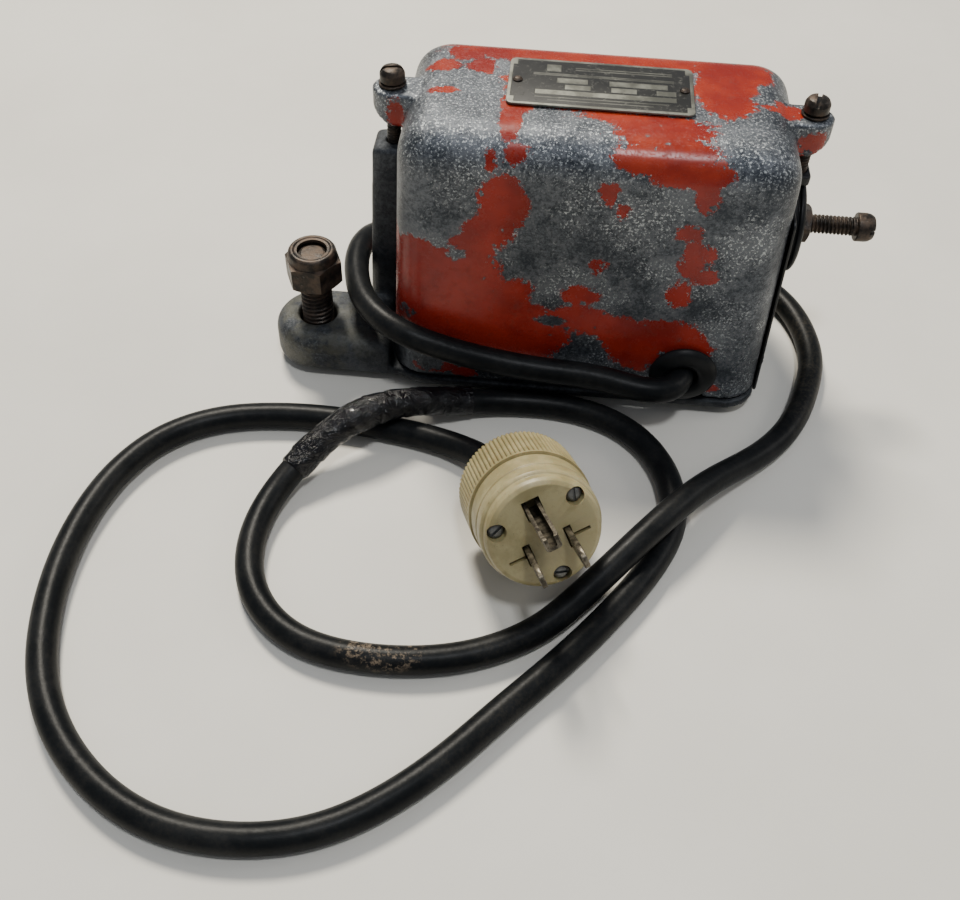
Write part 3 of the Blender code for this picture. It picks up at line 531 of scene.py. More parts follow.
def cast_metal():
    """Dull dark casting with dust on the mounting lug; away from the lug it is darkened in blotches
    as painted shade under the cover.
    """
    sh = Shader("cast_aluminium", metallic=0.55)
    metal, grain, _ = bare_casting(sh, 0.55, 0.22)
    shade_blotches = sh.fade(sh.noise(38, 6, 0.6), 0.42, 0.66)
    lug = sh.fade(sh.near((-92, -18, 14), (30, 26, 16)), 0.7, 1.1)
    dust = sh.times(sh.fade(sh.noise(150, 5, 0.6), 0.4, 0.6), 0.4)
    dusty = sh.mix(dust, metal, (0.13, 0.125, 0.09))
    metal = sh.mix(lug, dusty, metal)
    # Painted shade: near-black blotches over the base away from the lug, where it lies under the
    # cover
    painted_shade = sh.times(sh.times(shade_blotches, lug), 0.8)
    sh.colour(sh.mix(painted_shade, metal, (0.016, 0.018, 0.020)))
    sh.roughness(sh.line(grain, 0.3, 0.36))
    sh.bump(grain, 0.6, 0.6)
    sh.bump(sh.noise(140, 4, 0.6), 0.5, 0.4)
    return sh.material


def rusty(name="rusty_steel", tone=1.0, scale=1.0):
    """Brown-black steel with thin rust and rubbed edges."""
    sh = Shader(name, metallic=0.7)
    patch = sh.fade(sh.noise(260 * scale, 6, 0.7), 0.38, 0.66)
    grain = sh.noise(1300 * scale, 5, 0.7)
    dark = (0.022 * tone, 0.019 * tone, 0.017 * tone)
    warm = (0.085 * tone, 0.060 * tone, 0.044 * tone)
    rubbed = sh.fade(grain, 0.58, 0.72)
    base = sh.mix(patch, dark, warm)
    edges = (0.22 * tone, 0.20 * tone, 0.18 * tone)
    sh.colour(sh.mix(sh.times(rubbed, 0.4), base, edges))
    sh.roughness(sh.line(patch, 0.25, 0.36))
    sh.bump(grain, 0.12, 0.7)
    sh.bump(sh.noise(380 * scale, 4, 0.6), 0.2, 0.5)
    return sh.material


def plain(name, colour, metallic=0.0, rough=0.5, scale=500.0, vary=0.35, relief=0.05,
          shine=0.5):
    """One colour with uneven tone, sheen and fine relief."""
    sh = Shader(name, metallic=metallic)
    sh.shine(shine)
    tone = sh.noise(scale, 6, 0.65)
    dull = tuple(c * (1 - vary) for c in colour)
    sh.colour(sh.mix(sh.fade(tone, 0.35, 0.65), dull, colour))
    sh.roughness(sh.line(tone, 0.3, rough - 0.15))
    sh.bump(sh.noise(scale * 3, 4, 0.6), relief, 0.6)
    return sh.material


def laminated():
    """Edges of stacked core sheets, half a millimetre each."""
    sh = Shader("core_iron", metallic=0.8)
    wave = sh.node("ShaderNodeTexWave", wave_type="BANDS", bands_direction="Y")
    sh.put(wave.inputs["Vector"], sh.place)
    wave.inputs["Scale"].default_value = 320
    wave.inputs["Distortion"].default_value = 0.4
    tone = sh.noise(160, 5, 0.6)
    steel = sh.mix(sh.fade(tone, 0.4, 0.65), (0.13, 0.12, 0.11), (0.22, 0.20, 0.18))
    sh.colour(sh.mix(sh.times(wave.outputs["Fac"], 0.6), steel, (0.05, 0.035, 0.025)))
    sh.roughness(sh.line(tone, 0.3, 0.3))
    sh.bump(wave.outputs["Fac"], 0.1)
    return sh.material


def wound():
    """Varnished turns of magnet wire."""
    sh = Shader("wound_copper", metallic=0.5, roughness=0.35)
    wave = sh.node("ShaderNodeTexWave", wave_type="BANDS", bands_direction="X")
    sh.put(wave.inputs["Vector"], sh.place)
    wave.inputs["Scale"].default_value = 300
    tone = sh.noise(120, 4, 0.6)
    sh.colour(sh.mix(sh.fade(tone, 0.35, 0.65), (0.22, 0.07, 0.02), (0.42, 0.16, 0.05)))
    sh.bump(wave.outputs["Fac"], 0.25)
    return sh.material


def cord_jacket():
    """Black rubber jacket: a waxy sheen, dust in places and one scuffed stretch."""
    sh = Shader("black_rubber", roughness=0.4)
    sh.shine(0.12)
    tone = sh.noise(60, 6, 0.65)
    fine = sh.noise(900, 6, 0.75)
    black = sh.mix(sh.fade(tone, 0.4, 0.65), (0.004, 0.005, 0.006), (0.010, 0.011, 0.012))
    dusty = sh.rest(sh.near((80, -4, 5), (26, 62, 16)))
    loop = sh.rest(sh.near((-20, -150, 5), (110, 70, 14)))
    worn = sh.rest(sh.near((-50, -147, 8), (15, 7, 7)))
    film = sh.math("MAXIMUM", sh.times(dusty, 0.50), sh.times(loop, 0.12))
    film = sh.times(sh.math("MAXIMUM", film, 0.05), sh.fade(fine, 0.42, 0.62))
    film = sh.times(film, sh.fade(tone, 0.40, 0.60, 0.35, 1.0))
    coloured = sh.mix(sh.times(film, 0.9), black, (0.115, 0.095, 0.062))
    scuff = sh.times(sh.fade(worn, 0.0, 0.45), sh.fade(sh.noise(420, 6, 0.8), 0.50, 0.60))
    sh.colour(sh.mix(sh.times(scuff, 0.85), coloured, (0.20, 0.155, 0.11)))
    sh.roughness(sh.line(fine, 0.24, 0.27))
    sh.bump(fine, 0.05, 0.6)
    sh.bump(sh.noise(170, 4, 0.6), 0.35, 0.5)
    return sh.material


def tape_skin():
    """Glossy black vinyl tape, creased and smeared."""
    sh = Shader("electrical_tape", roughness=0.2)
    sh.shine(0.36)
    tone = sh.noise(300, 6, 0.7)
    sh.colour(sh.mix(sh.fade(tone, 0.5, 0.75), (0.002, 0.002, 0.003), (0.009, 0.009, 0.010)))
    sh.roughness(sh.line(tone, 0.24, -0.01))
    sh.bump(sh.noise(240, 5, 0.6, distortion=1.5), 1.3, 1.0)
    return sh.material


def aged_plastic():
    """Cream moulded plastic, yellowed, darker in its hollows: brown grime there, with painted
    shade.
    """
    sh = Shader("aged_cream_plastic", roughness=0.42)
    blotch = sh.noise(110, 6, 0.65)
    fine = sh.noise(800, 6, 0.75)
    cream = sh.mix(sh.fade(blotch, 0.36, 0.64), (0.27, 0.225, 0.105), (0.38, 0.325, 0.17))
    # Darker in the hollows, found by pointiness: partly brown grime, partly painted shade
    hollow = sh.fade(sh.node("ShaderNodeNewGeometry").outputs["Pointiness"], 0.43, 0.5, 1.0, 0.0)
    grime = sh.math("MAXIMUM", sh.times(hollow, 0.8),
                    sh.times(sh.fade(fine, 0.56, 0.72), 0.45))
    streak = sh.times(sh.fade(sh.noise(55, 5, 0.7), 0.5, 0.7), 0.35)
    sh.colour(sh.mix(sh.math("MAXIMUM", grime, streak), cream, (0.085, 0.060, 0.028)))
    sh.skin.inputs["Subsurface Weight"].default_value = 0.08
    sh.skin.inputs["Subsurface Scale"].default_value = 0.002
    sh.roughness(sh.line(fine, 0.25, 0.3))
    sh.bump(fine, 0.05, 0.5)
    return sh.material


def contact_metal():
    """Tarnished brass of blades and pin, grey-brown with rubbed edges."""
    sh = Shader("brass", metallic=0.85)
    tone = sh.noise(500, 6, 0.7)
    sh.colour(sh.mix(sh.fade(tone, 0.38, 0.62), (0.055, 0.047, 0.036), (0.20, 0.175, 0.13)))
    sh.roughness(sh.line(tone, 0.3, 0.25))
    sh.bump(sh.noise(1500, 4, 0.6), 0.04, 0.5)
    return sh.material


def floor_paper():
    """Plain pale paper with faint mottling."""
    sh = Shader("floor_paper", roughness=0.65)
    tone = sh.noise(9, 5, 0.6)
    sh.colour(sh.mix(sh.fade(tone, 0.3, 0.7), (0.70, 0.675, 0.61), (0.75, 0.725, 0.66)))
    sh.bump(sh.noise(35, 4, 0.5), 0.6, 0.25)
    return sh.material


ENAMEL = worn_enamel()
CAST = cast_metal()
RUST = rusty()
RUST_NUT = rusty("rusty_nut", 1.15, 0.8)
DULL_STEEL = plain("dull_steel", (0.20, 0.20, 0.19), 0.8, 0.45, 900)
SPRING = plain("spring_steel", (0.34, 0.34, 0.35), 1.0, 0.36)
BLACK_STEEL = plain("blackened_steel", (0.010, 0.011, 0.012), 0.3, 0.45, 240, 0.5, 0.12)
RUBBER = plain("grommet_rubber", (0.006, 0.007, 0.008), 0.0, 0.45, 200, 0.5, 0.12, 0.22)
JACKET = cord_jacket()
TAPE = tape_skin()
CREAM = aged_plastic()
CONTACT = contact_metal()
BRASS = plain("dull_brass", (0.46, 0.34, 0.14), 1.0, 0.42)
IRON = laminated()
COPPER = wound()
PHENOLIC = plain("brown_phenolic", (0.13, 0.06, 0.028), 0.0, 0.45, 300, 0.4)
WHITE_WIRE = plain("white_insulation", (0.68, 0.67, 0.6), 0.0, 0.5, 400, 0.2)
GREEN_WIRE = plain("green_insulation", (0.04, 0.26, 0.08), 0.0, 0.5, 400, 0.3)


def finish(piece, skin, slot, body="housing", *nodes):
    """Colour a piece, put it on its body and hide the CAD nodes it stands for."""
    piece.data.materials.clear()
    piece.data.materials.append(skin)
    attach(piece, body)
    if nodes:
        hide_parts(*nodes)
    return piece


# --------------------------------------------------------------- cord and tape
CORD_RADIUS = 4.35
# The cord's route in mm, as its CAD solids have it.
CORD_ROUTE = (
    (36.5, -24, 18.8), (36.5, -31, 18.8), (36.5, -38.5, 18.8), (35.2, -43, 18.9), (31, -46, 19),
    (22, -46, 19.4), (8, -42.6, 20.5), (-12, -41.6, 20.7), (-32, -41.2, 23.4), (-45.5, -41, 26.8),
    (-58.5, -39.3, 30.2), (-68.4, -32.4, 31.2), (-75.2, -22, 30.8), (-78.5, -10, 30.4),
    (-80.1, 0, 30.6), (-78, 12, 29.5), (-72.5, 24.5, 23), (-63.5, 36, 14.5), (-49, 43.5, 7.6),
    (-28, 44.5, 4.6), (-8, 44.5, 4.5), (16, 44.5, 4.5), (40, 43.6, 4.5), (62, 39.5, 4.5),
    (77.5, 26.5, 4.5), (84.5, 10.5, 4.5), (86.4, -8, 4.5), (83.4, -22, 4.5), (75.2, -43, 4.5),
    (65.5, -55.5, 4.6), (54.6, -66.5, 7.6), (43, -79, 12.2), (33, -91, 14), (21.5, -104.5, 12.6),
    (8.4, -118.8, 8.2), (-6, -133.4, 4.7), (-22.4, -142.8, 4.5), (-36.3, -146.7, 4.5),
    (-51.5, -148, 4.5), (-64.7, -147, 4.5), (-77, -143.2, 4.5), (-87, -135, 4.5),
    (-93.4, -124.5, 4.5), (-95.9, -112.2, 4.5), (-95.1, -99.2, 4.6), (-91, -87.5, 6),
    (-84.5, -78, 9.6), (-75.5, -69, 14.2), (-65.5, -61.2, 15.6), (-55, -54.5, 13.4),
    (-44, -48.5, 9), (-33, -44.2, 5.8), (-18, -41.6, 4.5), (-3.5, -41.8, 4.5), (10.2, -45, 4.5),
    (22.6, -53, 4.5), (30.4, -63.8, 4.5), (34, -75.5, 4.5), (34.5, -87.5, 4.5),
    (31.3, -98.6, 4.5), (24.4, -111.4, 4.5), (12.6, -128.4, 4.5), (0.4, -143.6, 4.5),
    (-15.3, -161, 4.5), (-27.5, -175.1, 4.5), (-39.3, -186.3, 4.5), (-50.8, -194.6, 4.5),
    (-62.6, -200, 4.5), (-77.3, -202.8, 4.5), (-92.6, -202.4, 4.5), (-106.4, -198.6, 4.5),
    (-119.2, -191.3, 4.5), (-130.9, -180.9, 4.5), (-139.5, -169, 4.5), (-145, -156.5, 4.5),
    (-148.8, -141, 4.5), (-150.5, -123.9, 4.5), (-149.4, -105.7, 4.5), (-144.5, -87.4, 4.5),
    (-134.5, -71.6, 4.5), (-118.3, -61.2, 4.5), (-98.5, -57.2, 4.5), (-80, -56.8, 4.5),
    (-65.6, -58.4, 4.5), (-52.5, -60.4, 4.5), (-41, -63.4, 4.8), (-31.5, -68.4, 6.6),
)
TAPE_FROM = (-88.4, -83, 7.6)
TAPE_TO = (-35, -44.9, 6)
PLUG_DEPTH = 35.0
PLUG_RIM = 1.5
SHELL_RADIUS = 18.8
PLUG_SPLIT = 16.5
BLADE_X = 6.35
BLADE_Y = -3.8
EARTH_Y = 8.1


def plug_matrix():
    """Local Z is out of the plug's face; the rear rim stands on the ground."""
    tilt = math.radians(26.5)
    lift = (PLUG_DEPTH - PLUG_RIM) * math.sin(tilt) + SHELL_RADIUS * math.cos(tilt) + 0.1
    return (shift(-6.9, -119.6, lift)
            @ Matrix.Rotation(math.radians(16.5), 4, "Z")
            @ Matrix.Rotation(math.pi / 2 - tilt, 4, "X")
            @ Matrix.Rotation(math.radians(19.4), 4, "Z"))


def smooth_route(points, spacing):
    """Even points along the centripetal Catmull-Rom curve through a list of points."""
    knots = [Vector(p) for p in points]
    knots = [2 * knots[0] - knots[1]] + knots + [2 * knots[-1] - knots[-2]]
    dense = []
    for a, b, c, d in zip(knots, knots[1:], knots[2:], knots[3:]):
        t1 = (b - a).length ** 0.5
        t2 = t1 + (c - b).length ** 0.5
        t3 = t2 + (d - c).length ** 0.5
        for step in range(24):
            t = t1 + (t2 - t1) * step / 24
            ab = a * (t1 - t) / t1 + b * t / t1
            bc = b * (t2 - t) / (t2 - t1) + c * (t - t1) / (t2 - t1)
            cd = c * (t3 - t) / (t3 - t2) + d * (t - t2) / (t3 - t2)
            abc = ab * (t2 - t) / t2 + bc * t / t2
            bcd = bc * (t3 - t) / (t3 - t1) + cd * (t - t1) / (t3 - t1)
            dense.append(abc * (t2 - t) / (t2 - t1) + bcd * (t - t1) / (t2 - t1))
    dense.append(knots[-2])
    reach = [0.0]
    for first, second in zip(dense, dense[1:]):
        reach.append(reach[-1] + (second - first).length)
    count = max(2, round(reach[-1] / spacing))
    even = []
    at = 0
    for k in range(count + 1):
        want = reach[-1] * k / count
        while at < len(reach) - 2 and reach[at + 1] < want:
            at += 1
        share = (want - reach[at]) / (reach[at + 1] - reach[at])
        even.append(dense[at].lerp(dense[at + 1], min(1.0, share)))
    return even, reach[-1]


PLUG = plug_matrix()
route_end = [PLUG @ (Vector((0, 0, z - PLUG_DEPTH)) * MM) for z in (-9, 0, 10)]
CORD, CORD_LENGTH = smooth_route([Vector(p) * MM for p in CORD_ROUTE] + route_end, 2.5 * MM)


def relaxed(points, rounds):
    """Even out the small kinks of a chain of points, its ends kept."""
    chain = [p.copy() for p in points]
    for _ in range(rounds):
        inner = [(a + 2 * b + c) / 4 for a, b, c in zip(chain, chain[1:], chain[2:])]
        chain = [chain[0]] + inner + [chain[-1]]
    return chain


CORD = relaxed(CORD, 12)


def make_cord():
    """The supply cord as one tube from inside the housing to inside the plug."""
    curve = bpy.data.curves.new("supply_cord", "CURVE")
    curve.dimensions = "3D"
    curve.bevel_depth = CORD_RADIUS * MM
    curve.bevel_resolution = 7
    curve.use_fill_caps = True
    spline = curve.splines.new("POLY")
    spline.points.add(len(CORD) - 1)
    for slot, point in zip(spline.points, CORD):
        slot.co = (*point, 1)
    spline.use_smooth = True
    made = bpy.data.objects.new("supply_cord", curve)
    COLLECTION.objects.link(made)
    return finish(made, JACKET, "black_rubber", "housing", "supply_cord_upper", "supply_cord_lower")


def frames_along(points):
    """Position and two cross directions at each point of a chain."""
    up = Vector((0, 0, 1))
    out = []
    for i, point in enumerate(points):
        ahead = (points[min(i + 1, len(points) - 1)] - points[max(i - 1, 0)]).normalized()
        side = ahead.cross(up).normalized()
        out.append((point, side, side.cross(ahead)))
    return out


def make_tape():
    """Splice tape wound along the cord: overlapping turns, a lump and loose ends."""
    def nearest(spot):
        place = Vector(spot) * MM
        return min(range(len(CORD)), key=lambda i: (CORD[i] - place).length)

    first = nearest(TAPE_FROM)
    last = nearest(TAPE_TO)
    fine = []
    for a, b in zip(CORD[first:last], CORD[first + 1:last + 1]):
        fine.extend(a.lerp(b, s / 5) for s in range(5))
    sides = 48
    rings = []
    travel = 0.0
    total = (CORD[1] - CORD[0]).length / MM / 5 * len(fine)
    for k, (point, side, over) in enumerate(frames_along(fine)):
        if k:
            travel += (fine[k] - fine[k - 1]).length / MM
        row = []
        share = travel / total
        lump = (0.55 * math.exp(-((share - 0.42) / 0.12) ** 2)
                + 0.25 * math.exp(-((share - 0.12) / 0.08) ** 2))
        ends = min(1.0, min(travel, total - travel) / 0.8)
        for i in range(sides):
            angle = TAU * i / sides
            turn = (travel / 8.5 + angle / TAU + 0.08 * math.sin(3 * angle + share * 20)) % 1
            lap = 0.42 * (1 - turn) ** 0.5 if turn > 0.04 else 0.42 * turn / 0.04
            crease = 0.10 * math.sin(5 * angle + travel * 0.9) * math.sin(travel * 0.37 + angle)
            r = (CORD_RADIUS - 0.05 + (0.28 + lap + lump * (1 + 0.2 * math.cos(2 * angle))
                                      + crease) * ends) * MM
            row.append(point + side * (r * math.cos(angle)) + over * (r * math.sin(angle)))
        rings.append(row)
    made = loft("splice_tape", rings)
    tidy_normals(made, 65)
    return finish(made, TAPE, "electrical_tape", "housing", "cord_splice_tape")


# ----------------------------------------------------------------------- plug
def face_screws():
    """Place on the plug's face, in mm, and slot angle of its three screws."""
    return [(13.9 * math.cos(math.radians(angle)), 13.9 * math.sin(math.radians(angle)), slot)
            for angle, slot in ((150, 20), (30, 75), (-90, -20))]


def make_plug():
    """Cord plug: ribbed rear shell, front body, blades, folded earth pin, face screws."""
    def boxed(x, y, z):
        return block(x, y, z, PLUG)

    def drilled(x, y, low, radius, length):
        return rod((0, 0, 0), radius, length, PLUG @ shift(x, y, low), 24)

    front = ((0, 0), (15.2, 0), (16.4, -0.7), (17.0, -2.0), (17.0, -3.9), (17.4, -4.1),
             (17.9, -4.8), (18.0, -8.6), (17.75, -8.8), (17.75, -9.2), (18.1, -9.4),
             (18.2, -15.6), (17.9, -PLUG_SPLIT), (0, -PLUG_SPLIT))
    body = lathe("plug_front", front, PLUG, 120, 0.25)
    half = 3.18
    cutters = [boxed((-2.7, 2.7), (EARTH_Y - 2.5, EARTH_Y + 4.0), (-6, 2))]
    for side in (-1, 1):
        x = side * BLADE_X
        cutters.append(boxed((x - 1.15, x + 1.15), (BLADE_Y - half - 0.3, BLADE_Y + half + 0.3),
                             (-6, 2)))
        reach = sorted((x + side * 1.0, x + side * 6.2))
        cutters.append(boxed(reach, (BLADE_Y - 0.55, BLADE_Y + 0.55), (-2.6, 2)))
    for x, y, _ in face_screws():
        cutters.append(drilled(x, y, -3.6, 2.75, 6))
    cut(body, *cutters)
    soft_edges(body, 0.18)
    finish(body, CREAM, "aged_cream_plastic", "housing", "plug_body")

    def ribs(angle, radius, height):
        if radius < 17 or height > -17.6:
            return radius
        wave = abs(math.sin(42 * angle))
        fade = min(1.0, (-17.6 - height) / 0.6)
        return radius - 0.55 * fade * (1 - wave) ** 1.4

    rear = [(4.6, -16.85), (18.75, -16.85), (18.8, -17.5), (18.8, -18.2)]
    rear += [(18.8, -18.2 - k) for k in range(1, 15)]
    rear += [(18.7, -33.6), (17.9, -34.6), (16.8, -35), (6.4, -35), (5.6, -34.6), (4.6, -34.6)]
    shell = lathe("plug_rear", rear, PLUG, 504, 0.0, ribs)
    finish(shell, CREAM, "aged_cream_plastic", "housing", "plug_shell")

    for side, label in ((-1, "left"), (1, "right")):
        x = side * BLADE_X
        tip = 16.2
        shape = [(BLADE_Y - half, -9.5), (BLADE_Y + half, -9.5), (BLADE_Y + half, tip - 2.4),
                 (BLADE_Y + half - 1.4, tip), (BLADE_Y - half + 1.4, tip),
                 (BLADE_Y - half, tip - 2.4)]
        shape = eased(shape, 0.8, 3, loop=True)
        rings = []
        for dx, inset in ((-0.76, 0.25), (-0.55, 0.0), (0.55, 0.0), (0.76, 0.25)):
            middle = Vector((BLADE_Y, 3.0))
            ring = []
            for p in shape:
                v = Vector((p.x, p.y))
                v = v - (v - middle).normalized() * inset
                ring.append(Vector((x + dx, v.x, v.y)) * MM)
            rings.append(ring)
        blade = loft("plug_blade_visual_" + label, rings, PLUG)
        hole = PLUG @ shift(x - 2, BLADE_Y, 11.6) @ ALONG_X
        cut(blade, rod((0, 0, 0), 1.6, 4, hole, 24))
        finish(blade, CONTACT, "brass", "housing", "plug_blade_" + label)

    channel = []
    wall = 0.95
    for z in (-9.5, 19.2, 20.3):
        shrink = 0.35 if z > 20 else 0.0
        w = 2.3 - shrink
        low = EARTH_Y - 2.3 + shrink
        high = EARTH_Y + 2.3 - shrink
        outer = eased([(-w, high), (-w, low), (w, low), (w, high)], 0.7, 4)
        inner = eased([(w - wall, high), (w - wall, low + wall), (-w + wall, low + wall),
                       (-w + wall, high)], 0.3, 4)
        channel.append(outline(outer + inner, z))
    pin = loft("earth_pin_channel", channel, PLUG)
    finish(pin, CONTACT, "brass", "housing", "plug_earth_pin")

    for number, (x, y, slot_turn) in enumerate(face_screws(), 1):
        at = PLUG @ shift(x, y, -3.3)
        head = lathe("face_screw_%d" % number,
                     ((0, 2.0), (1.6, 1.9), (2.35, 1.3), (2.45, 0.0), (0, 0)), at, 32, 0.3)
        turned = at @ Matrix.Rotation(math.radians(slot_turn), 4, "Z")
        cut(head, block((-4, 4), (-0.4, 0.4), (1.1, 3), turned))
        finish(head, DULL_STEEL, "spring_steel", "housing", "plug_screw_%d" % number)


# -------------------------------------------------------------------- housing
# Where enamel is left on the cover: ellipsoids in mm, each a centre and its radii.
PAINT = (
    ((-27.5, -33, 79), (8, 9, 10)), ((-32, -34, 69), (8, 8, 6)), ((-37, -34, 63), (8, 8, 5)),
    ((-54, -34, 60), (7, 8, 5)), ((-45, -34, 50), (20, 9, 13)), ((-43, -35, 36), (22, 9, 15)),
    ((-24, -34, 41), (13, 8, 11)), ((-22, -35, 29), (19, 8, 10)), ((-1, -34, 38), (12, 8, 5)),
    ((11, -35, 34), (13, 8, 6)), ((27, -35, 33), (15, 8, 7)), ((19, -35, 26), (9, 8, 8)),
    ((38, -35, 29), (7, 8, 5)), ((32, -34, 61), (4, 8, 4)), ((37, -34, 58), (4, 8, 3)),
    ((30, -34, 51), (4.5, 8, 5)), ((32, -34, 67), (3, 8, 4)), ((29, -34, 74), (4, 8, 3)),
    ((37, -34, 66), (2, 8, 3)), ((27, -31, 93), (12, 7, 4.5)), ((33, -33, 87), (4, 7, 6)),
    ((15, -30, 96), (12, 7, 4)), ((4, -34, 86), (3, 8, 4)), ((3, -34, 59), (3, 8, 3)),
    ((-1, -34, 47), (6, 8, 4)), ((9, -34, 80), (2, 8, 2)), ((-48, -35, 12), (7, 8, 3)),
    ((-38, -35, 10), (5, 8, 2)), ((-63, -24, 44), (8, 16, 20)), ((47, -35, 12), (3, 8, 2)),
    ((-22, -35, 18), (16, 8, 4)), ((0, 22, 99), (47, 9, 8)), ((0, 2, 100), (30, 15, 8)),
    ((38, 8, 99), (10, 19, 8)), ((-26, -10, 99), (5, 6, 7)), ((-27, -19, 98), (3.5, 9, 7)),
    ((-24, -29, 95), (4, 3, 4)), ((-32, -31, 93), (1.6, 3, 3)), ((12, -15, 99), (20, 4, 7)),
    ((17, -20, 99), (15, 6, 7)), ((22, -27, 97), (13, 6, 7)), ((55, 0, 97), (9, 4, 5)),
    ((46, 18, 98), (8, 9, 7)), ((-50, 10, 99), (5, 4, 6)), ((-49, -5, 99), (5, 2, 6)),
    ((-38, 11, 99), (5, 5, 6)), ((-43, 19, 99), (6, 6, 6)), ((-63, -7, 91), (3, 3, 4.5)),
    ((66, -7, 91), (5, 3, 4)), ((40, 34, 55), (22, 9, 30)), ((-8, 35, 40), (30, 9, 24)),
    ((-45, 34, 70), (14, 9, 20)), ((8, 34, 84), (26, 9, 12)), ((-30, 35, 18), (22, 9, 8)),
    ((62, 22, 50), (9, 13, 24)), ((-62, 18, 66), (9, 12, 20)), ((-63, 20, 28), (9, 10, 12)),
    ((62, 6, 88), (6, 14, 6)),
)
# Where it has flaked off inside those.
FLAKED = (
    ((3, -35, 24), (7, 9, 8)), ((-12, -34, 45), (5, 8, 3)), ((-10, -35, 36), (5, 8, 2)),
    ((-50, -35, 14), (5, 8, 4)), ((-9, -20, 100), (13, 5, 8)), ((44, -17, 99), (9, 8, 8)),
    ((-41, -34, 60), (2, 8, 2)), ((49, 2, 100), (4, 3, 6)), ((10, 35, 60), (14, 9, 10)),
    ((-20, 35, 26), (8, 9, 6)), ((50, 35, 30), (8, 9, 10)), ((-58, -35, 34), (1.5, 8, 2)),
)


EDGE_SLOPE = 1.6        # a steeper edge is less broken up by the enamel's noise
FAR_SIDE_WEAR = 0.62    # and the sides away from the camera are broken up more


def paint_left(points):
    """Signed depth in mm inside the painted areas, at each point."""
    def inside(spots):
        best = np.full(len(points), -99.0)
        for centre, radii in spots:
            reach = np.linalg.norm((points - np.array(centre)) / np.array(radii), axis=1)
            best = np.maximum(best, (1 - reach) * sorted(radii)[1])
        return best

    depth = np.clip(np.minimum(inside(PAINT), -inside(FLAKED)) * EDGE_SLOPE, -14, 14)
    back = np.interp(points[:, 1], (16, 33), (0, 1))
    right = np.interp(points[:, 0], (60, 62), (0, 1)) * np.interp(points[:, 2], (86, 92), (1, 0))
    far = np.maximum(back, right) * np.interp(points[:, 2], (90, 97), (1, 0))
    return depth * (1 - FAR_SIDE_WEAR * far)


def make_cover():
    """Cast cover with its ears, blended into one soft-edged shell and worn."""
    cover = drafted("cover", (COVER_FOOT, COVER_TOP), 63.5, 35, 12, 11.5)
    for side in (-1, 1):
        ear = tongue(side * 50, side * 71.3, 0, 6.3, (86.4, 97.5))
        slope = block((0, 30), (-10, 10), (-10, 0),
                      shift(side * 60, 0, 82.6)
                      @ Matrix.Rotation(math.radians(-35 * side), 4, "Y")
                      @ Matrix.Rotation(0 if side > 0 else math.pi, 4, "Z"))
        cut(ear, slope)
        join(cover, ear)
    cut(cover, drafted("hollow", (3, 96.5), 60, 31.5, 8.5, 8))
    cut(cover, block((50, 70), (-24, 24), (0, 74)),
        block((28.2, 44.8), (-40, -28), (0, GROMMET_Z)),
        rod((GROMMET_X, -40, GROMMET_Z), 8.3, 12, ALONG_Y))
    for side in (-1, 1):
        cut(cover, rod((side * EAR_X, 0, 80), 2.7, 25))
    recast(cover, 0.8, 3)
    co = np.zeros(len(cover.data.vertices) * 3)
    cover.data.vertices.foreach_get("co", co)
    worn = cover.data.attributes.new("paint", "FLOAT", "POINT")
    worn.data.foreach_set("value", paint_left(co.reshape(-1, 3) / MM).astype(np.float32))
    finish(cover, ENAMEL, "worn_red_enamel", "housing", "cover_shell")


def round_rim(target, above, radius):
    """Round the edges of a block that lie above a height, in mm."""
    bm = bmesh.new()
    bm.from_mesh(target.data)
    rim = [e for e in bm.edges if min(v.co.z for v in e.verts) > above * MM]
    bmesh.ops.bevel(bm, geom=rim, offset=radius * MM, segments=5, profile=0.5, affect="EDGES")
    bm.to_mesh(target.data)
    bm.free()


def make_base():
    """Base casting: lipped plate, pad, cover post and mounting lug in one piece."""
    def slab(half_x, half_y, low, high):
        shape = rectangle(half_x, half_y, 12, 8)
        return loft("slab", [outline(shape, z) for z in (low, high)])

    base = slab(64, 36, 4, 7)
    base.name = "base"
    join(base, block((-46, 46), (-25, 25), (0, 5)))
    join(base, block((-47, -2), (-17, 17), (6, 36)))
    cut(base, block((-60, 10), (-12.3, 12.3), (27, 45)))
    join(base, block((23.9, 40), (-14, 14), (6, 22)), block((56, 65), (-23, 23), (6, 19)))
    cut(base, block((-0.4, 20), (-50, 50), (-10, 30), END_FRAME))
    post = tongue(-60, -75.1, 0, 6.9, (5, 78.3))
    lean = Matrix.Rotation(DRAFT, 4, "Y")
    root = shift(-64.5, 0, 7) @ lean
    cut(post, block((0, 30), (-15, 15), (-10, 100), root))
    tip = shift(-75.4, 0, 7) @ Matrix.Rotation(0.055, 4, "Y")
    cut(post, block((-20, 0), (-15, 15), (-10, 100), tip))
    round_rim(post, 78.2, 1.8)
    lug = tongue(-64.4, -106.5, LUG[1], 15, (4, 18))
    round_rim(lug, 17.9, 5.2)
    join(base, post, lug, block((-72, -58), (-33, -3), (4, 7)))
    cut(base, rod((*LUG, 0), 6.6, 30), rod((*LUG, 17.2), 6.6, 1.2, tip=7.6),
        rod((-EAR_X, 0, 60), 2.6, 30))
    recast(base, 0.85, 4)
    finish(base, CAST, "cast_aluminium", "housing", "base_casting")


def make_rating_plate():
    """Blank rating plate: etched black panels, rules and fields, two drive pins."""
    x, y = PLATE_MIDDLE
    made = plate("rating_plate", 28.5, 13.6, 2.2, 100.3, 101.1, 0.25, shift(x, y, 0))
    finish(made, plate_skin(), "nameplate_metal", "housing", "nameplate")
    for side, label in ((-1, "left"), (1, "right")):
        pin = lathe("drive_pin_" + label,
                    ((0, 102.1), (0.9, 101.95), (1.6, 101.4), (1.55, 101.1), (0.9, 101.0),
                     (0.9, 96.3), (0, 96.3)), shift(x + side * 25.6, y, 0), 24, 0.2)
        finish(pin, RUST, "spring_steel", "housing", "nameplate_pin_" + label)


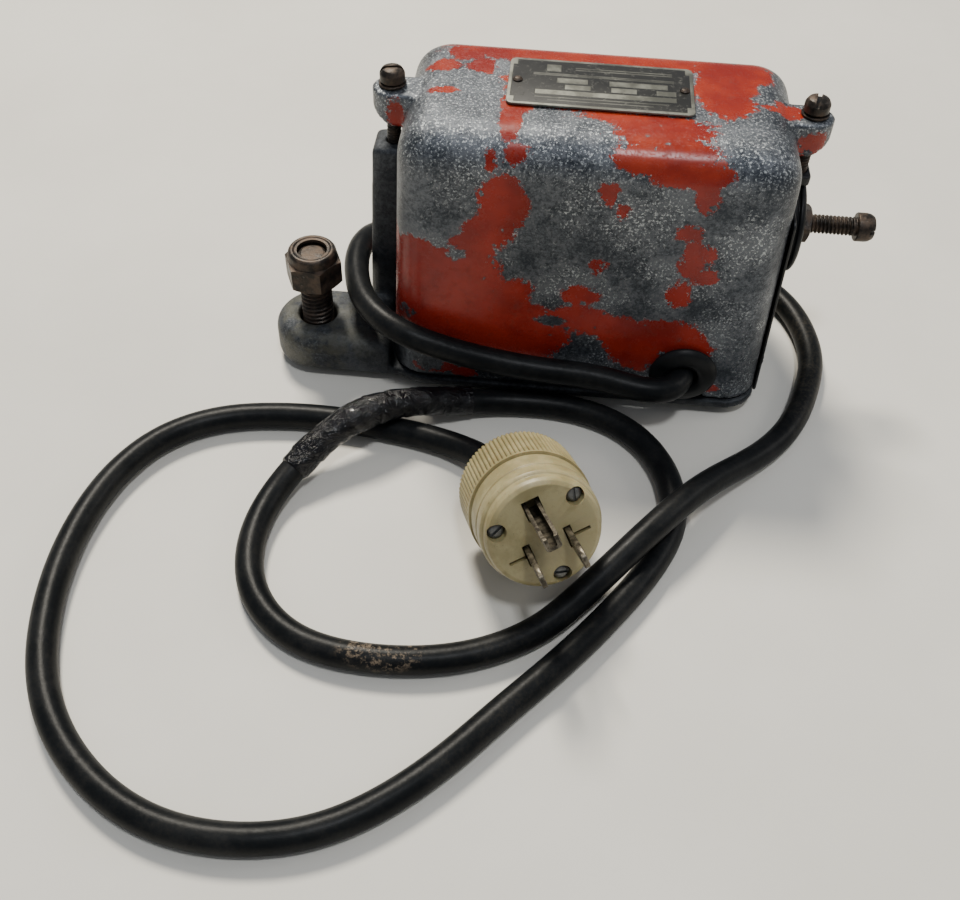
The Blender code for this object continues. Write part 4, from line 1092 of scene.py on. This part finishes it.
def plate_skin():
    """Etched plate: a pale rim round a black field with plain rules and blank boxes."""
    sh = Shader("nameplate_metal")
    axes = sh.axes()
    x = sh.line(axes[0], 1000.0, -PLATE_MIDDLE[0])
    y = sh.line(axes[1], 1000.0, -PLATE_MIDDLE[1])

    def box(left, right, low, high):
        """1 inside a rectangle of the plate's face, in mm."""
        across = sh.math("SUBTRACT", (right - left) / 2,
                         sh.math("ABSOLUTE", sh.math("SUBTRACT", x, (left + right) / 2)))
        along = sh.math("SUBTRACT", (high - low) / 2,
                        sh.math("ABSOLUTE", sh.math("SUBTRACT", y, (low + high) / 2)))
        return sh.fade(sh.math("MINIMUM", across, along), -0.08, 0.12)

    field = box(-27.4, 27.4, -12.5, 12.5)
    for left, right in ((-27.7, -26.1), (26.1, 27.7)):
        for low, high in ((-12.8, -9.5), (9.5, 12.8)):
            field = sh.math("SUBTRACT", field, box(left, right, low, high))
    pale = None
    for row in ((-13.5, -4, -0.2, 2.6), (2.6, 20.5, -0.2, 2.6), (-11, -3, -3.8, -1.1),
                (3.2, 11, -3.8, -1.1), (17, 23, -3.8, -1.1), (-20, 23, -7.3, -4.7),
                (-17, -12.4, 6.4, 10.4)):
        one = box(*row)
        pale = one if pale is None else sh.math("MAXIMUM", pale, one)
    for left, right, y_line in ((-8, 22, 9.2), (-8, 22, 8.0), (-21, 22.5, 5.0), (-21, 22.5, 4.2),
                                (-20, 20, -8.8), (-16, 16, -10.4)):
        rule = sh.times(box(left, right, y_line - 0.28, y_line + 0.28), 0.55)
        pale = sh.math("MAXIMUM", pale, rule)
    worn = sh.fade(sh.noise(650, 6, 0.75), 0.56, 0.70)
    ink = sh.math("MAXIMUM", sh.math("SUBTRACT", field, pale), 0.0)
    ink = sh.times(ink, sh.rest(sh.times(worn, 0.55)))
    tone = sh.noise(120, 5, 0.65)
    metal = sh.mix(sh.fade(tone, 0.38, 0.64), (0.12, 0.12, 0.10), (0.25, 0.25, 0.21))
    sh.colour(sh.mix(ink, metal, (0.010, 0.010, 0.009)))
    sh.metallic(sh.line(ink, -0.45, 0.55))
    sh.roughness(sh.line(tone, 0.3, 0.28))
    sh.bump(sh.rest(ink), 0.12)
    sh.bump(sh.noise(900, 4, 0.6), 0.05, 0.5)
    return sh.material


def fillister(name, radius, height, shank, length, place, slot_turn, skin, slot, *nodes):
    """Slotted fillister-head screw; local z 0 is under the head."""
    profile = ((0, height), (radius * 0.45, height - 0.05), (radius * 0.8, height - 0.55),
               (radius * 0.97, height * 0.62), (radius, height * 0.55), (radius, 0.25),
               (radius - 0.25, 0), (0, 0))
    head = lathe("head", profile, place, 48, 0.35)
    cut(head, block((-20, 20), (-0.62, 0.62), (height - 1.9, height + 2),
                    place @ Matrix.Rotation(slot_turn, 4, "Z")))
    soft_edges(head, 0.12)
    down = place @ Matrix.Rotation(math.pi, 4, "X")
    stem = threaded("stem", shank, shank * 0.14, 1.06, length, down, 32)
    return merged(name, (head, stem), skin, slot, "housing", *nodes)


def lock_washer(name, x, node, turn):
    """Split spring washer: a square-section coil of one turn, its ends sprung apart."""
    rings = []
    steps = 48
    for k in range(steps + 1):
        angle = turn + TAU * (0.02 + 0.96 * k / steps)
        rise = 0.5 * k / steps
        ring = []
        for r, z in ((2.8, 0), (4.2, 0), (4.3, 0.1), (4.3, 0.75), (4.2, 0.85), (2.8, 0.85)):
            ring.append(Vector((x + r * math.cos(angle), r * math.sin(angle),
                                97.55 + rise + z * 0.85)) * MM)
        rings.append(ring)
    finish(loft(name, rings), RUST, "rusty_steel", "housing", node)


def make_cover_screws():
    """The screw and lock washer on each of the cover's ears."""
    for x, label, gap_turn, slot_turn, length in ((-EAR_X, "left", 0.9, 0.2, 36),
                                                  (EAR_X, "right", 2.3, 1.35, 22.5)):
        lock_washer("split_washer_" + label, x, "lock_washer_" + label, gap_turn)
        fillister("cover_fixing_" + label, 3.95, 4.6, 2.3, length, shift(x, 0, 98.9), slot_turn,
                  RUST, "rusty_steel", "cover_screw_" + label)


# ------------------------------------------------------------------- right end
def make_end_plate():
    """Thin black end plate that follows the cover's slope, with its bush and boss."""
    rings = []
    for x, inset in ((0, 0.15), (0.15, 0.0), (0.65, 0.0), (0.8, 0.15)):
        ring = []
        for p in rectangle(27 - inset, 35.85 - inset, 2.5, 5):
            ring.append(Vector((x, p.x, 32.85 + p.y)) * MM)
        rings.append(ring)
    made = loft("end_cover", rings, END_FRAME)
    boss = plate("boss", 3.4, 4.5, 1.6, 74.7, 78.3, 0.7, shift(EAR_X, 0, 0))
    join(made, boss, rod((56, 0, SCREW_Z), 7, 6.2, ALONG_X, 40))
    cut(made, rod((50, 0, SCREW_Z), 3.4, 20, ALONG_X), rod((EAR_X, 0, 60), 2.6, 30))
    finish(made, BLACK_STEEL, "blackened_steel", "housing", "end_plate")
    for y, label in ((-18, "front"), (18, "rear")):
        at = END_FRAME @ shift(1.1, y, 5.7) @ ALONG_X
        fillister("end_fixing_" + label, 3.2, 1.9, 1.8, 10, at, 0.6 + y, BLACK_STEEL,
                  "blackened_steel", "end_plate_screw_" + label)


def make_adjuster():
    """Dished rubber disc, jam nut, long adjusting screw and the pad on its tip."""
    def on_axis(x):
        return shift(x, 0, SCREW_Z) @ ALONG_X

    disc = lathe("rubber_disc",
                 ((3.5, 5.6), (7.5, 5.6), (9.0, 4.9), (13.0, 5.2), (15.3, 4.8), (16.1, 4.0),
                  (16.1, 3.0), (15.3, 2.7), (15.3, 2.3), (16.2, 2.0), (16.2, 0.2), (3.5, 0.0)),
                 on_axis(63.5), 96, 0.5)
    finish(disc, RUBBER, "black_rubber", "housing", "dust_disc")
    nut = hexagon(11.05, 0, 3.6, on_axis(69.4), 0.25, 1.2)
    cut(nut, rod((68, 0, SCREW_Z), 3.4, 7, ALONG_X))
    nut.name = "jam_nut"
    finish(nut, RUST, "rusty_steel", "lock_nut", "adjusting_lock_nut")
    screw_at = on_axis(44)
    stem = threaded("stem", 3.15, 0.55, 1.27, 41.5, screw_at @ shift(0, 0, 3), 40)
    head = lathe("head", ((0, 50.6), (2.4, 50.5), (3.8, 50.0), (4.55, 48.7), (4.75, 47.6),
                          (4.75, 44.6), (4.5, 44.3), (3.0, 44.3), (3.0, 43.0), (0, 43.0)),
                 screw_at, 48, 0.3)
    slot_at = screw_at @ Matrix.Rotation(math.radians(78), 4, "Z")
    cut(head, block((-20, 20), (-0.65, 0.65), (48.3, 53), slot_at))
    soft_edges(head, 0.12)
    tip = lathe("tip", ((0, 3.4), (2.3, 3.4), (2.3, 0.6), (2.0, 0.3), (0, 0.3)), screw_at, 32, 0.1)
    merged("tuning_screw", (stem, head, tip), RUST, "rusty_steel", "adjusting_screw",
           "adjusting_screw")
    pad = lathe("pad_button", ((0, 0), (4.4, 0), (5, 0.6), (5, 3.7), (4.7, 4.2), (2.6, 4.2),
                               (2.6, 2), (0, 2)), on_axis(42), 48, 0.3)
    finish(pad, BRASS, "brass", "thrust_pad", "thrust_pad")


def merged(name, pieces, skin, slot, body, *nodes):
    """Several meshes of one solid piece as one object."""
    bm = bmesh.new()
    for piece in pieces:
        bm.from_mesh(piece.data)
    mesh = bpy.data.meshes.new(name)
    bm.to_mesh(mesh)
    bm.free()
    for piece in pieces:
        bpy.data.objects.remove(piece, do_unlink=True)
    made = bpy.data.objects.new(name, mesh)
    COLLECTION.objects.link(made)
    tidy_normals(made, 45)
    return finish(made, skin, slot, body, *nodes)


def make_grommet():
    """Rubber cord bush: a domed flange outside, a groove in the wall, a lip inside."""
    made = lathe("cord_bush",
                 ((10.3, -28), (10.3, -30.6), (8, -30.6), (8, -35.5), (11.3, -35.5),
                  (11.3, -36.4), (10.2, -37.7), (8.2, -38.5), (6.4, -38.9), (4.8, -38.2),
                  (4.65, -36), (4.65, -28)),
                 shift(GROMMET_X, 0, GROMMET_Z) @ ALONG_Y, 64, 0.7)
    finish(made, RUBBER, "black_rubber", "housing", "cord_grommet")


def make_mounting_bolt():
    """Threaded mounting bolt with a low head, and its tall turned-top lock nut."""
    at = shift(*LUG, 0)
    stem = threaded("stem", 5.5, 1.0, 1.814, 40.3, at @ shift(0, 0, 3.5), 48, 0.8)
    top = lathe("top", ((0, 44.0), (3.9, 43.9), (4.7, 43.4), (4.7, 42), (0, 42)), at, 48, 0.3)
    head = lathe("head", ((0, 3.6), (9.6, 3.5), (10.5, 2.9), (10.5, 0.5), (10.1, 0.05),
                          (0, 0.05)), at, 48, 0.3)
    merged("lug_bolt", (stem, top, head), RUST, "rusty_steel", "mounting_bolt", "mounting_bolt")
    nut = hexagon(17.2, 32.7, 42.4, at, math.radians(-6), 1.7)
    collar = lathe("collar", ((0, 45.2), (6.0, 45.2), (6.5, 45.6), (7.4, 45.5), (8.1, 44.7),
                              (8.5, 41.8), (0, 41.8)), at, 64, 0.4)
    join(nut, collar)
    cut(nut, rod((*LUG, 30), 5.8, 14.2, sides=48), rod((*LUG, 43), 5.1, 5, sides=48))
    soft_edges(nut, 0.25)
    nut.name = "lug_nut"
    finish(nut, RUST_NUT, "rusty_steel", "mounting_bolt", "mounting_nut")


# --------------------------------------------------------------- inner pieces
def colour_inner_nodes():
    """Procedural finishes for the CAD pieces that show only with the cover off."""
    skins = {
        "core_iron": IRON, "wound_copper": COPPER, "brown_phenolic": PHENOLIC, "brass": BRASS,
        "spring_steel": SPRING, "rusty_steel": RUST, "white_insulation": WHITE_WIRE,
        "green_insulation": GREEN_WIRE, "black_rubber": RUBBER, "blackened_steel": BLACK_STEEL,
    }
    for part in frame["record"]["subparts"]:
        node = frame["nodes"][part["node"]]
        skin = skins.get(part["material_slot"])
        if skin is None or node.hide_render:
            continue
        node.data.materials.clear()
        node.data.materials.append(skin)
        node.data.shade_smooth()
        node.data.set_sharp_from_angle(angle=math.radians(35))


# ------------------------------------------------------------------ the stage
def make_stage():
    """Pale floor that fills the view, and soft lights."""
    bpy.ops.mesh.primitive_plane_add(size=6, location=(0, 0, 0))
    ground = bpy.context.object
    ground.name = "floor"
    ground.data.materials.append(floor_paper())

    def lamp(name, place, aim, size, power, colour):
        light = bpy.data.lights.new(name, "AREA")
        light.shape = "DISK"
        light.size = size
        light.energy = power
        light.color = colour
        made = bpy.data.objects.new(name, light)
        made.location = place
        made.rotation_euler = (Vector(aim) - Vector(place)).to_track_quat("-Z", "Y").to_euler()
        COLLECTION.objects.link(made)

    lamp("key", (-0.42, 0.80, 1.35), (0, -0.05, 0.0), 0.40, 37, (1.0, 0.94, 0.82))
    lamp("tube", (0.10, -0.42, 1.15), (0, -0.05, 0.05), 0.16, 5, (0.93, 0.96, 1.0))
    lamp("side", (1.3, 0.3, 0.9), (0, -0.05, 0.05), 0.7, 4, (1.0, 0.96, 0.9))
    world = bpy.data.worlds.new("soft_room")
    world.use_nodes = True
    world.node_tree.nodes["Background"].inputs["Color"].default_value = (0.86, 0.91, 1.0, 1)
    world.node_tree.nodes["Background"].inputs["Strength"].default_value = 0.30
    bpy.context.scene.world = world


supply_cord = make_cord()
splice = make_tape()
make_plug()
make_cover()
make_base()
make_rating_plate()
make_cover_screws()
make_end_plate()
make_adjuster()
make_grommet()
make_mounting_bolt()
colour_inner_nodes()
make_stage()

bpy.context.view_layer.update()
